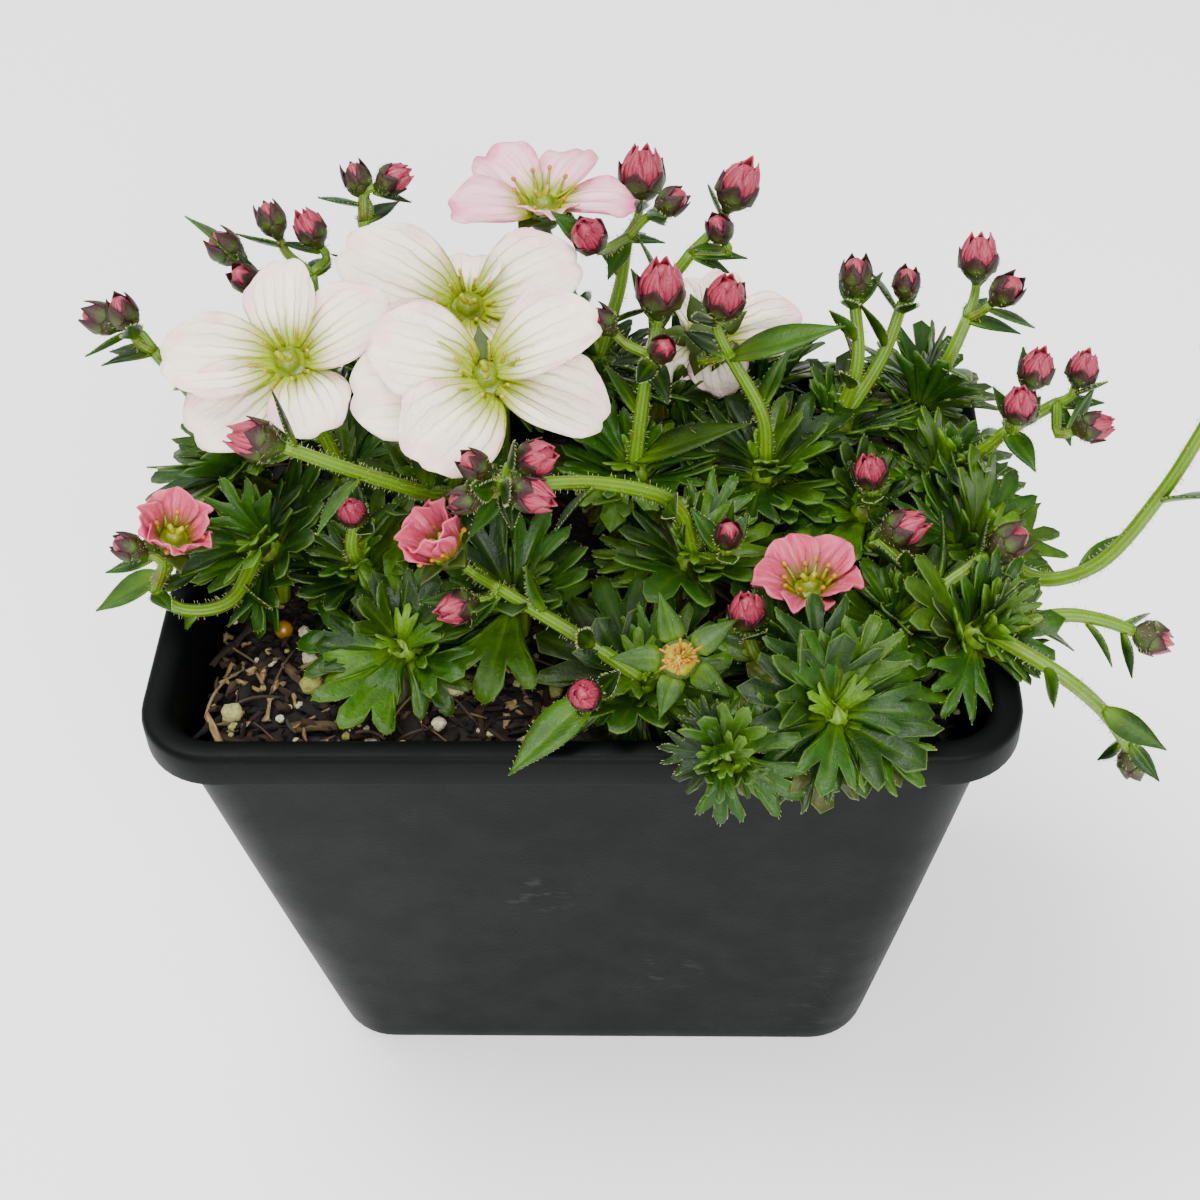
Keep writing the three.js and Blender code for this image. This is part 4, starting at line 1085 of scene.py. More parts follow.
@dataclass(frozen=True)
class CalyxFinish(Finish):
    """Sepals and cups: green at the foot, maroon-brown to the tip where the age asks for it."""

    green: str = "37500c"
    dark: str = "2a0c0a"
    rim: str = "5a4c28"

    def paint(self, coat: Coat) -> Socket:
        """The maroon grows along the second UV number and in patches, times the age number."""
        graph, (_, age, _) = coat.graph, coat.tone()
        across, along, _ = graph.split(coat.uv)
        side = graph.math("ABSOLUTE", graph.minus(across, 0.5))
        grow = graph.plus(along, graph.times(graph.noise(coat.place, 520.0), 0.9))
        share = graph.times(graph.ramp(graph.plus(grow, side), 0.45, 1.25), age)
        body = graph.blend(share, self.green, self.dark)
        coat.colour(graph.blend(graph.ramp(along, 0.94, 1.0, 0.0, 0.3), body, self.rim))
        return coat.height


@dataclass(frozen=True)
class PetalFinish(Finish):
    """A petal: its face colour, a greener claw, fine veins, a blushed rim and streaks along it."""

    face: str = "fbf0d6"
    blush: str = "eca9b6"
    claw: str = "8b9a06"
    vein: str = "8e9040"
    blush_share: float = 0.8
    vein_share: float = 0.5
    claw_reach: float = 0.46
    streak_share: float = 0.12

    def paint(self, coat: Coat) -> Socket:
        """The claw fades out, veins fan from it, and blush gathers at the rim and in streaks."""
        graph = coat.graph
        across, along, _ = graph.split(coat.uv)
        rim = graph.math("ABSOLUTE", graph.minus(graph.times(across, 2.0), 1.0))
        edge = graph.most(graph.ramp(rim, 0.45, 1.0), graph.ramp(along, 0.6, 1.0))
        cloud = graph.ramp(graph.noise(coat.place, 210.0), 0.3, 0.68)
        patches = graph.times(graph.times(edge, cloud), self.blush_share)
        drawn = graph.noise(graph.scaled(coat.uv, (11.0, 1.1, 1.0)), 1.0)
        streaks = graph.ramp(drawn, 0.42, 0.66, 0.0, self.streak_share)
        body = graph.blend(graph.most(patches, streaks), self.face, self.blush)
        lines = graph.most(*coat.veins(0.035, 8.0, 0.9))
        faded = graph.times(lines, graph.ramp(along, 0.95, 0.25, 0.12, 1.0))
        lined = graph.blend(graph.times(faded, self.vein_share), body, self.vein)
        spread = graph.plus(along, graph.times(lines, -0.14))
        claw = graph.ramp(spread, self.claw_reach, self.claw_reach * 0.12)
        coat.colour(graph.blend(claw, lined, self.claw))
        coat.flesh(0.25, (1.0, 0.8, 0.6), 0.0012)
        return graph.minus(coat.height, graph.times(lines, 1.4))


@dataclass(frozen=True)
class TissueFinish(Finish):
    """Small soft parts, between two colours by their tone, with flecks of a third."""

    colour: str = "9cae16"
    other: str = "9cae16"
    fleck: str = "6f8c12"
    scale: float = 900.0

    def paint(self, coat: Coat) -> Socket:
        """The tone's first number goes from one colour to the other, and flecks lie over both."""
        own, _, _ = coat.tone()
        coat.colour(coat.mottled(coat.graph.blend(own, self.colour, self.other), self.fleck,
                                 self.scale, 0.6))
        return coat.height


POT_PLASTIC = PlasticFinish("moulded_plastic", roughness=0.5, relief=0.1, relief_scale=2600.0,
                            shine=0.07)
SOIL = SoilFinish("peat_mix", roughness=0.9, relief=1.0, relief_scale=1400.0, shine=0.3)
BARK = LitterFinish("bark_litter", roughness=0.8, relief=0.8, shine=0.3)
FIBRE = LitterFinish("fibre_litter", roughness=0.8, relief=0.3, dark="1c130b", middle="4c381f",
                     light="8c7448")
PERLITE = LitterFinish("perlite_litter", roughness=0.9, relief=0.9, dark="5c5a24", middle="8f8d46",
                       light="cfc9ae",
                       stretch=(1.0, 1.0, 1.0))
BEAD = TissueFinish("feed_bead", roughness=0.3, relief=0.1, colour="7e5606", other="8a6008",
                    fleck="4c3204", scale=500.0)
LEAF = LeafFinish("leaf_flesh", roughness=0.38, relief=0.3, relief_scale=2300.0, shine=0.22)
STEM = StemFinish("stem_flesh", roughness=0.45, relief=0.3, relief_scale=2600.0, shine=0.4)
CALYX = CalyxFinish("calyx_flesh", roughness=0.5, relief=0.4, relief_scale=3000.0, shine=0.35)
THROAT = TissueFinish("throat_flesh", roughness=0.35, relief=0.3, colour="66790a", other="a39a0c",
                      fleck="4c5e06")
ANTHER = TissueFinish("anther_dust", roughness=0.6, relief=0.5, colour="b0a824", other="b87404",
                      fleck="6a4a06",
                      scale=1800.0)
HAIR = TissueFinish("gland_hair", roughness=0.4, relief=0.0, colour="aab57a", other="9a8a6a",
                    fleck="8f9a5a", scale=700.0)
WHITE_PETAL = PetalFinish("white_petal", roughness=0.5, relief=0.6, shine=0.3)
BLUSH_PETAL = PetalFinish("blush_petal", roughness=0.5, relief=0.3, face="ecbac5", blush="cb5882",
                          blush_share=1.0,
                          vein="c8809a", claw_reach=0.4, streak_share=0.35, shine=0.35)
CUP_PETAL = PetalFinish("cup_petal", roughness=0.5, relief=0.35, face="a82e4c", blush="cc647c",
                        claw="665002",
                        vein="851c36", blush_share=0.75, claw_reach=0.56, streak_share=0.6,
                        shine=0.35)
BUD_PETAL = PetalFinish("bud_petal", roughness=0.42, relief=0.4, face="76122b", blush="ae4459",
                        claw="4c2016",
                        vein="5c0c22", blush_share=0.5, vein_share=0.6, claw_reach=0.36,
                        streak_share=0.65, shine=0.4)
SHOOT_FINISHES = (LEAF, STEM, CALYX, THROAT, ANTHER, BUD_PETAL)


@dataclass(frozen=True)
class BladeForm:
    """The outline of a lobed leaf.

    Args:
        half: Its right half from the middle lobe's tip to the flank, in shares of length and half
            width.
        lobes: The number of its lobes, with equally many columns to each half of a lobe.
    """

    half: tuple[tuple[float, float], ...]
    lobes: int


THREE_LOBED = BladeForm((
    (1, 0), (0.955, 0.19), (0.83, 0.33), (0.63, 0.27), (0.75, 0.5), (0.85, 0.8), (0.87, 1),
    (0.76, 1.08),
    (0.6, 0.86), (0.38, 0.45)), 3)
FIVE_LOBED = BladeForm((
    (1, 0), (0.965, 0.13), (0.86, 0.2), (0.68, 0.13), (0.79, 0.42), (0.88, 0.64), (0.92, 0.78),
    (0.85, 0.8),
    (0.73, 0.66), (0.57, 0.42), (0.63, 0.82), (0.67, 1.08), (0.69, 1.22), (0.61, 1.16), (0.5, 0.86),
    (0.36, 0.42)), 5)
SMALL_LOBED = BladeForm((
    (1, 0), (0.9, 0.34), (0.62, 0.3), (0.84, 0.78), (0.84, 1.05), (0.6, 0.92), (0.38, 0.46)), 3)


@dataclass(frozen=True)
class Blade:
    """A leaf, bract, sepal or petal where it stands.

    Args:
        length: Its length.
        width: Its width.
        at: The middle of its root.
        rotation: The matrix that turns it from +X, with its upper side to +Z, to where it points.
        droop: How far its tip hangs, as a share of its length.
        fold: How far its sides rise, as a share of their distance from the midrib.
        thickness: Its thickness in the middle.
        seed: A number for its own small differences.
    """

    length: float
    width: float
    at: Array
    rotation: Array
    droop: float = 0.16
    fold: float = 0.14
    thickness: float = 0.55
    seed: float = 0.0

    def placed(self, x: Array, y: Array, z: Array) -> Array:
        """The points of a grid in the blade's own frame, turned and moved to its place."""
        return np.stack([x, y, z], -1) @ self.rotation.T + self.at


def lobed_leaf(blade: Blade, form: BladeForm, rows: tuple[float, ...]) -> Patch:
    """A wedge-shaped leaf with fingers.

    Straight rays run from its narrow root to its outline, so a point is root times (1 - u) plus
    outline times u, with the sides drawn in low down. Its height is fold times the distance from
    the midrib, less droop times the square of the distance from the root, plus a gutter in each
    finger and a curl at its tip.

    Args:
        blade: Its size and place.
        form: Its outline.
        rows: The shares u of its rows.

    Returns:
        The closed patch, whose first UV number counts the lobes.
    """
    half = np.array(form.half)
    jitter = (draw(np.arange(len(half) * 2 - 1) + blade.seed, 31) - 0.5) * 0.05
    left = half[::-1] * [1, -1]
    outline = np.concatenate([left[:-1], half]) * [blade.length, blade.width / 2]
    outline[:, 0] *= 1 + jitter
    cols = len(outline)
    u = np.array(rows)[:, None]
    v = np.linspace(-1, 1, cols)[None]
    x = outline[None, :, 0] * u
    y = v * 0.9 * (1 - u) ** 1.5 + outline[None, :, 1] * u ** 1.18
    lobe = (v + 1) / 2 * form.lobes
    finger = np.floor(np.minimum(lobe, form.lobes - 1e-6))
    across = 2 * (lobe - finger) - 1
    curl = (draw(finger + blade.seed, 32) - 0.45) * 0.5
    reach = x / blade.length
    gutter = 0.035 * blade.length * across ** 2 * u ** 2
    z = blade.fold * np.abs(y) - blade.droop * blade.length * reach ** 2 + gutter
    z = z + curl * blade.length * np.clip(reach - 0.45, 0, 1) ** 2
    thin = blade.thickness * (1 - 0.55 * u ** 3) * (1 - 0.3 * across ** 2 * u)
    uvs = woven(lobe, u)
    return closed_sheet(blade.placed(x, y, z), thin, uvs)


BRACT_ROWS = 10
BLADE_COLS = 5


def pointed_blade(blade: Blade, widest: float = 0.42, rows: int = BRACT_ROWS) -> Patch:
    """A plain blade that tapers to a point, such as a bract or a sepal.

    Its half width is a power of u times a power of (1 - u), which is greatest at the widest share,
    and its height is as a lobed leaf's.

    Args:
        blade: Its size and place.
        widest: The share of its length where it is widest.
        rows: The points along it.

    Returns:
        The closed patch.
    """
    u, v = shares(rows, BLADE_COLS)
    rise = 1.4 * widest / (1 - widest)
    peak = widest ** rise * (1 - widest) ** 1.4
    swell = np.maximum(u, 1e-9) ** rise * (1 - u) ** 1.4 / peak
    half = blade.width / 2 * (0.3 * (1 - u) ** 2 + np.minimum(swell, 1.0) * 0.97) + 0.06
    x = blade.length * u + 0 * v
    y = v * half
    twist = (draw(blade.seed, 33) - 0.5) * 0.5
    z = blade.fold * np.abs(y) - blade.droop * blade.length * u ** 2 + twist * y * u
    thin = blade.thickness * (1 - 0.6 * u ** 2) * (1 - 0.45 * v ** 2)
    uvs = woven((v + 1) / 2, u)
    return closed_sheet(blade.placed(x, y, z), thin, uvs)


def broad_petal(blade: Blade, claw: float, notch: float, curl: float, ruffle: float) -> Patch:
    """A broad rounded petal.

    Its half width grows from the claw as the sine of a bent share of its length, and its tip row
    falls back with the power of the distance from its middle, less a small notch. Its height is a
    cup across it, a bow along it, a roll of its sides, a few pleats that a cosine across it gives,
    and a ruffle of its rim, which is two sines of different lengths.

    Args:
        blade: Its size and place.
        claw: The width of its claw, as a share of its width.
        notch: The depth of the notch, as a share of its length.
        curl: How far its sides roll up.
        ruffle: The height of the ruffles.

    Returns:
        The closed patch.
    """
    u, v = shares(15, 15)
    swell = np.sin(np.pi * 0.5 * np.minimum(u / 0.66,
                                            1) ** 0.85) * (1 - 0.14
                                                           * np.clip((u - 0.66) / 0.34, 0, 1) ** 2)
    half = blade.width / 2 * (claw + (1 - claw) * swell)
    back = 0.27 * np.abs(v) ** 2.3 + notch * np.exp(-(v / 0.16) ** 2)
    x = blade.length * u * (1 - back * u ** 2)
    y = v * half
    a, b, c = (draw(blade.seed, salt) for salt in (34, 35, 36))
    waves = np.sin(5.2 * v + ROUGH_TURN * a) * 0.6 + np.sin(9.1 * v + 4.0 * u
                                                            + ROUGH_TURN * b) * 0.4
    z = blade.fold * half * v ** 2 - blade.droop * blade.length * u ** 2
    pleats = np.cos(3.4 * np.pi * v
                    + 2.0 * (c - 0.5)) * np.sin(np.pi * np.minimum(u * 1.15, 1)) ** 0.7
    z = z + ruffle * waves * u ** 2.5 + curl * half * np.abs(v) ** 3 * u * (1 + 0.3 * (c - 0.5))
    z = z + 0.042 * blade.width * pleats * (1 - 0.4 * np.abs(v))
    y = y * (1 - 0.35 * curl * np.abs(v) ** 2 * u)
    thin = blade.thickness * (1 - 0.45 * u) * (1 - 0.3 * v ** 2)
    uvs = woven((v + 1) / 2, u)
    return closed_sheet(blade.placed(x, y, z), thin, uvs)


@dataclass(frozen=True)
class SepalForm:
    """How five sepals stand on a cup.

    Args:
        height: How high they stand on the cup.
        radius: How far from the axis.
        length: Their length.
        width: Their width.
        pitch: How steeply they rise.
        droop: How they bow, outwards where it is above 0.
        age: How far maroon covers them.
        turn: Their turn about the axis.
        tissue: Their finish.
    """

    height: float
    radius: float
    length: float
    width: float
    pitch: float
    droop: float
    age: float
    turn: float = 0.0
    tissue: Tissue = Tissue.CALYX


BUD_SEPALS = SepalForm(2.0, 2.3, 2.7, 2.6, 1.5, -0.03, 1.0)
CLOSED_SEPALS = SepalForm(2.0, 1.9, 3.1, 2.3, 1.5, -0.22, 1.0)
OPEN_SEPALS = SepalForm(2.5, 2.3, 4.2, 2.5, 0.3, 0.05, 0.3, math.pi / SIDES)
SPENT_SEPALS = SepalForm(1.7, 1.7, 5.8, 2.6, 0.15, 0.1, 0.36, tissue=Tissue.LEAF)
SEPAL_HAIRS = 46

BUD_CUP: Profile = [(0.6, -0.3), (0.95, 0.3), (1.6, 0.9), (2.1, 1.6), (2.35, 2.3), (2.3, 2.7),
                    (1.7, 2.8)]
BUD_CORE: Profile = [(0.9, 2.4), (1.5, 3.6), (1.5, 4.8), (1.0, 5.5), (0.3, 5.9)]
CLOSED_CUP: Profile = [(0.6, -0.3), (0.95, 0.3), (1.6, 1.0), (1.95, 1.9), (1.9, 2.6), (1.5, 3.0)]
CLOSED_TIP: Profile = [(1.5, 2.2), (1.6, 3.0), (1.4, 3.9), (0.95, 4.6), (0.4, 5.0)]
OPEN_CUP: Profile = [(0.7, -4.1), (1.1, -3.3), (2.0, -2.4), (2.55, -1.4), (2.7, -0.6), (2.4, -0.15),
                     (1.6, 0.0)]
OPEN_OVARY: Profile = [(2.3, -0.4), (2.3, -0.1), (1.95, 0.2), (1.5, 0.3), (1.35, 0.6), (1.2, 1.1),
                       (0.8, 1.5), (0.4, 1.6)]
SPENT_CUP: Profile = [(0.7, -0.4), (1.1, 0.3), (1.9, 1.1), (2.3, 1.8), (2.2, 2.3), (1.5, 2.4)]
SPENT_OVARY: Profile = [(1.9, 2.1), (1.8, 2.6), (1.35, 3.0), (0.8, 3.3), (0.3, 3.5)]
ANTHER_BODY: Profile = [(0.1, -0.42), (0.3, -0.25), (0.36, 0.0), (0.28, 0.25), (0.1, 0.4)]

# How far below its middle a head's stalk ends, and where the cups of the shut ones stand
STALK_DEPTH = {HeadKind.BLOOM: 4.0, HeadKind.CUP: 3.6, HeadKind.BUD: 3.9, HeadKind.CLOSED: 3.0,
               HeadKind.STAR: 2.6}
BUD_DEPTH = 3.6
CLOSED_DEPTH = 2.5
SPENT_DEPTH = 2.0
ANTHER_RIPENESS = {Tint.WHITE: 0.25, Tint.BLUSH: 0.8, Tint.PINK: 1.0}

LEAF_ROWS = (0, 0.2, 0.42, 0.64, 0.84, 1.0)
SMALL_LEAF_ROWS = (0, 0.35, 0.7, 1.0)
# A digit counts the places tried before a full leaf fitted; any other sign stands for none
TRY_DIGITS = "0123456789abcdefghijklmno"
LEAF_HAIR_WIDTH = 0.05
STEM_HAIR_WIDTH = 0.055


@dataclass
class LeafyShootPiece:
    """One rooted shoot with its rosette, stems and heads, and its coat of hairs."""

    shoot: Shoot
    index: int
    crown_radius: float = 1.9
    stalk_radius: float = 1.2
    stem_radius: float = 0.88
    pedicel_radius: float = 0.64
    foot: float = 59.4
    neck: float = 70.0
    extra_leaves: int = 17
    hanging_from: int = 9
    tip_step: float = 0.22
    tip_tries: int = 8
    hairs_to_mm: int = 9
    pot: "NurseryPot" = field(default_factory=lambda: NurseryPot())
    shell: Shell = field(default_factory=Shell)
    coat: Shell = field(default_factory=Shell)

    def build(self) -> tuple[bpy.types.Object, bpy.types.Object]:
        """Makes the shoot and its hairs.

        Returns:
            The leafy piece, which stands for the shoot's node, and the hairs on it.
        """
        axis = unit(np.array([*self.shoot.lean, 1.0]))
        crown = np.array(self.shoot.crown, float)
        self._stalk(crown, axis)
        self._rosette(crown, axis)
        for number, stem in enumerate(self.shoot.stems):
            self._stem(stem, number, crown, axis)
        name = self.shoot.name
        if name in LARGE_BRACTS:
            self._large_bract(*LARGE_BRACTS[name])
        leafy = self.shell.piece(f"leafy_{name}", [f.material() for f in SHOOT_FINISHES])
        hairs = self.coat.piece(f"hairs_{name}", [HAIR.material()])
        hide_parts(f"shoot_{name}")
        return leafy, hairs

    def _stalk(self, crown: Array, axis: Array) -> None:
        """The stalk from below the soil to the rosette's knob.

        Args:
            crown: The middle of the rosette.
            axis: The way that the crown looks.
        """
        x, y = self.shoot.root
        points = [np.array([x, y, self.foot]), np.array([x, y, self.neck]), crown - 3.8 * axis,
                  crown - 1.2 * axis, crown + 0.3 * axis]
        if self.shoot.bow:
            points.insert(2, np.array(self.shoot.bow, float))
        line = smooth_line(points, 0.9)
        share = np.linspace(0, 1, len(line))
        radii = self.stalk_radius + (self.crown_radius
                                     - self.stalk_radius) * np.clip(share * 1.6 - 0.7, 0, 1)
        radii[-1] *= 0.6
        self.shell.add(swept_tube(line, radii, 10), Tissue.STEM, (0.5, 0.4, 0))

    def _small_leaf(self, blade: Blade, age: float) -> None:
        """Adds a leaf of few faces, tipped up until it clears the pot, or leaves it out.

        Args:
            blade: Its size and place.
            age: How far it has yellowed.
        """
        for _ in range(self.tip_tries):
            patch = lobed_leaf(blade, SMALL_LOBED, SMALL_LEAF_ROWS)
            if not self.pot.meets(patch.points):
                self.shell.add(patch, Tissue.LEAF, (chance(blade.seed, 41), age, 0))
                return
            blade = replace(blade, rotation=blade.rotation @ tip_up(self.tip_step))

    def _leaf(self, blade: Blade, age: float, five: bool) -> None:
        """Adds one full leaf and the hairs along its rim.

        Args:
            blade: Its size and place.
            age: How far it has yellowed.
            five: Whether it has five lobes, not three.
        """
        patch = lobed_leaf(blade, FIVE_LOBED if five else THREE_LOBED, LEAF_ROWS)
        self.shell.add(patch, Tissue.LEAF, (chance(blade.seed, 41), age, 0))
        rim = patch.points.reshape(len(LEAF_ROWS), -1, 3)
        cols = rim.shape[1] // 2
        outer = (rim[-1, :cols] + rim[-1, :cols - 1:-1]) / 2
        out = outer - (rim[-2, :cols] + rim[-2, :cols - 1:-1]) / 2
        pick = np.arange(cols - 1)
        t = draw(pick + blade.seed, 42)[:, None]
        bases = outer[pick] * (1 - t) + outer[pick + 1] * t
        lengths = 0.15 + 0.25 * draw(pick + blade.seed, 43)
        self.coat.add(spikes(bases, unit(out[pick]) + 0.3 * blade.rotation[:, 2], lengths,
                             LEAF_HAIR_WIDTH))

    def _rosette(self, crown: Array, axis: Array) -> None:
        """The full leaves on two belts of five faces, then young ones above and old ones below.

        Args:
            crown: The middle of the rosette.
            axis: The way that the crown looks.
        """
        shoot = self.shoot
        carry = turn_between(UP, axis)
        base = 40 * self.index
        for order in range(shoot.leaves):
            belt, side = divmod(order, SIDES)
            station = 3 if belt == 0 else 5
            n = base + 7 * station
            tries = TRY_DIGITS.find(shoot.fits[order])
            size = 0.72 if tries < 0 else 1 - 0.2 * (tries // 8)
            nudge = max(tries, 0)
            length = shoot.length * (1 - 0.16 * belt) * (0.78 + 0.36 * chance(n + side, 21)) * size
            pitch = 0.02 + 0.7 * belt + 0.42 * chance(n + side, 22)
            pitch += 0.12 * (nudge % 8) + (0.45 if tries < 0 else 0)
            yaw = 0.7 * (chance(n + side, 23) - 0.5) + (0.04 if nudge % 2 == 0
                                                        else -0.04) * (nudge % 8 + 1)
            angle = 2 * math.pi * (side + 0.5 + 0.5 * belt) / SIDES
            out = carry @ spoke(angle)
            at = crown + axis * ((-2.4 if belt == 0 else -0.7)
                                 + 0.45) + out * self.crown_radius * 0.72
            turn = spread_round(out, axis) @ turn_z(yaw) @ tip_up(pitch)
            seed = base + order * 3.7
            wide = 0.74 + 0.16 * chance(seed, 46)
            blade = Blade(length, wide * length, at, turn, 0.06 + 0.22 * chance(seed, 47),
                          seed=seed)
            self._leaf(blade, 0.26 + 0.4 * chance(seed, 44), draw(seed, 45) > 0.62)
        self._extra_leaves(crown, axis, carry, base)

    def _extra_leaves(self, crown: Array, axis: Array, carry: Array, base: int) -> None:
        """Young leaves at the heart, old ones that hang under the full ones, and strays.

        Args:
            crown: The middle of the rosette.
            axis: The way that the crown looks.
            carry: The turn from straight up to that way.
            base: The shoot's first number for the draws.
        """
        young = 2 + int(3 * chance(base, 55))
        for k in range(self.extra_leaves):
            seed = base + 100.3 + k * 5.1
            a, b, c, d, e = (chance(seed, salt) for salt in (51, 52, 53, 54, 56))
            angle = GOLDEN_ANGLE * k + 1.3 * self.index + 1.2 * (e - 0.5)
            if k < young:
                share, pitch, height = 0.3 + 0.3 * a, 0.6 + 0.8 * b, 0.1 + 0.15 * k
                away, age = 0.7, 0.05 + 0.3 * d
            elif k < self.hanging_from:
                share, pitch, height = 0.5 + 0.4 * a, -0.6 + 0.6 * b, -4.2 + 0.3 * k
                away, age = 1.3, 0.55 + 0.45 * d
            else:
                share, pitch, height = 0.5 + 0.55 * a ** 1.5, -0.1 + 1.2 * b, -3.6 + 3.6 * c
                away, age = 1.3, 0.25 + 0.5 * e
            out = carry @ spoke(angle)
            at = crown + axis * height + out * away
            turn = spread_round(out, axis) @ turn_z(1.1 * (d - 0.5)) @ tip_up(pitch)
            length = self.shoot.length * share
            self._small_leaf(Blade(length, (0.58 + 0.3 * a) * length, at, turn, 0.45 * c - 0.05,
                                   seed=seed), age)

    def _stem(self, stem: Stem, number: int, crown: Array, axis: Array) -> None:
        """One flowering stem with its bracts, and its heads on short stalks.

        Args:
            stem: The stem.
            number: Its place among the shoot's stems.
            crown: The middle of the rosette.
            axis: The way that the crown looks.
        """
        start = crown + axis * (0.2 if number == 0 else -0.8)
        path = [np.array(p, float) for p in stem.path]
        seed = 40.0 * self.index + 11.0 * number
        if len(stem.heads) == 1:
            head = stem.heads[0]
            foot = self._foot_of(head)
            self._limb([start, *path, foot], self.stem_radius, seed, 0.25)
            if not head.is_open:
                self._collar(foot - 1.2 * head.axis(), head.axis(),
                             3 if head.kind is HeadKind.CLOSED else 2, seed)
            self._head(head, seed + 1)
            return
        self._limb([start, *path], self.stem_radius, seed, 0.25)
        for k, head in enumerate(stem.heads):
            foot = self._foot_of(head)
            middle = foot - 1.6 * head.axis()
            self._limb([path[-1], middle, foot], self.pedicel_radius, seed + 3 + k, 0.6,
                       bracts=False)
            self._fork_bract(path[-1], foot, seed + k)
            if not head.is_open:
                self._collar(foot - 0.6 * head.axis(), head.axis(), 1, seed + k)
            self._head(head, seed + 1 + k)

    @staticmethod
    def _foot_of(head: Head) -> Array:
        """Where a head's stalk ends."""
        return np.array(head.at, float) - STALK_DEPTH[head.kind] * head.scale * head.axis()

    def _limb(self, points: list[Array], radius: float, seed: float, flush: float,
              bracts: bool = True) -> None:
        """A length of stem that thins upwards, with hairs on it and bracts at its shares.

        Args:
            points: The points that it passes.
            radius: Its radius.
            seed: A number for its small differences.
            flush: How red it is.
            bracts: Whether it carries any.
        """
        line = smooth_line(points, 0.8)
        share = np.linspace(0, 1, len(line))
        radii = radius * (1.06 - 0.22 * share)
        self.shell.add(swept_tube(line, radii, 10), Tissue.STEM, (chance(seed, 61), flush, 0))
        tangent, normal, binormal = carried_frames(line)
        length = 0.8 * (len(line) - 1)
        n = np.arange(int(length * self.hairs_to_mm)) + seed
        where = draw(n, 62) * (len(line) - 1)
        low = np.minimum(where.astype(int), len(line) - 2)
        t = (where - low)[:, None]
        angle = (2 * np.pi * draw(n, 63))[:, None]
        out = normal[low] * np.cos(angle) + binormal[low] * np.sin(angle)
        bases = line[low] * (1 - t) + line[low + 1] * t + out * radii[low][:, None] * 0.92
        aims = out + 0.35 * (draw(n, 64)[:, None] - 0.3) * tangent[low]
        self.coat.add(spikes(bases, aims, 0.3 + 0.4 * draw(n, 65), STEM_HAIR_WIDTH))
        if not bracts:
            return
        for k, at_share in enumerate((0.35, 0.7) if length > 15 else (0.5,)):
            i = int(at_share * (len(line) - 1))
            angle = 2 * math.pi * chance(seed + k, 66)
            out = normal[i] * math.cos(angle) + binormal[i] * math.sin(angle)
            turn = spread_round(out, tangent[i]) @ tip_up(0.55 + 0.35 * chance(seed + k, 67))
            long = 7.2 * (0.8 + 0.4 * chance(seed + k, 68))
            blade = Blade(long, 0.34 * long, line[i] + out * radius * 0.8, turn, 0.12, 0.25, 0.5,
                          seed + k)
            self._bract(blade, 0.4)

    def _bract(self, blade: Blade, age: float) -> None:
        """Adds one narrow leaf and the hairs along its sides.

        Args:
            blade: Its size and place.
            age: How far it has yellowed.
        """
        patch = pointed_blade(blade)
        self.shell.add(patch, Tissue.LEAF, (chance(blade.seed, 71), age, 0))
        rim = patch.points.reshape(BRACT_ROWS, 2 * BLADE_COLS, 3)
        for edge, inner in ((rim[:, 0], rim[:, 1]),
                            (rim[:, BLADE_COLS - 1], rim[:, BLADE_COLS - 2])):
            pick = np.repeat(np.arange(BRACT_ROWS - 1), 3)
            t = draw(np.arange(len(pick)) + blade.seed, 72)[:, None]
            bases = edge[pick] * (1 - t) + edge[pick + 1] * t
            aims = unit(edge[pick] - inner[pick]) + 0.4 * blade.rotation[:, 2]
            self.coat.add(spikes(bases, aims, 0.2 + 0.2 * t[:, 0], LEAF_HAIR_WIDTH))

    def _large_bract(self, root: Point, tip: Point, width: float) -> None:
        """A broad leaf of the stem, from its root to its tip, with its upper side up.

        Args:
            root: Where it starts.
            tip: Where it ends.
            width: Its width.
        """
        start, way = np.array(root), np.array(tip) - np.array(root)
        long = float(np.linalg.norm(way))
        ahead = way / long
        side = unit(np.cross(UP, ahead))
        turn = np.column_stack([ahead, side, np.cross(ahead, side)])
        self._bract(Blade(long, width, start, turn, 0.0, 0.3, 0.5, 5 + self.index), 0.36)

    def _fork_bract(self, fork: Array, foot: Array, seed: float) -> None:
        """The small leaf under each stalk of a cluster.

        Args:
            fork: Where the stalks part.
            foot: Where this one ends.
            seed: A number for its small differences.
        """
        away = unit(foot - fork)
        up = unit(away + 0.9 * UP)
        turn = spread_round(away + 0.2 * (draw(np.arange(3) + seed, 81) - 0.5), up) @ tip_up(0.35)
        long = 5.0 + 2.6 * chance(seed, 82)
        self._bract(Blade(long, 0.36 * long, fork - 0.4 * up, turn, 0.1, 0.25, 0.5, seed), 0.5)

    def _collar(self, at: Array, axis: Array, count: int, seed: float) -> None:
        """Narrow leaves that spread round a stalk just under its head.

        Args:
            at: Their place.
            axis: The way that the head looks.
            count: How many there are.
            seed: A number for their small differences.
        """
        base = facing(axis)
        for k in range(count):
            angle = GOLDEN_ANGLE * k + ROUGH_TURN * chance(seed, 84)
            turn = base @ turn_z(angle) @ tip_up(0.5 + 0.4 * chance(seed + k, 85))
            long = 4.6 + 2.6 * chance(seed + k, 86)
            spot = at + base @ spoke(angle) * 0.5
            self._bract(Blade(long, 0.34 * long, spot, turn, -0.08, 0.3, 0.5, seed + k), 0.5)

    def _turned(self, profile: Profile, at: Array, rotation: Array, scale: float, tissue: Tissue,
                tone: Point = (0.5, 0, 0), ribs: float = 0.03, sides: int = 15) -> None:
        """Adds a turned body with its tissue and tone."""
        self.shell.add(turned_body(profile, at, rotation, sides, scale, ribs), tissue, tone)

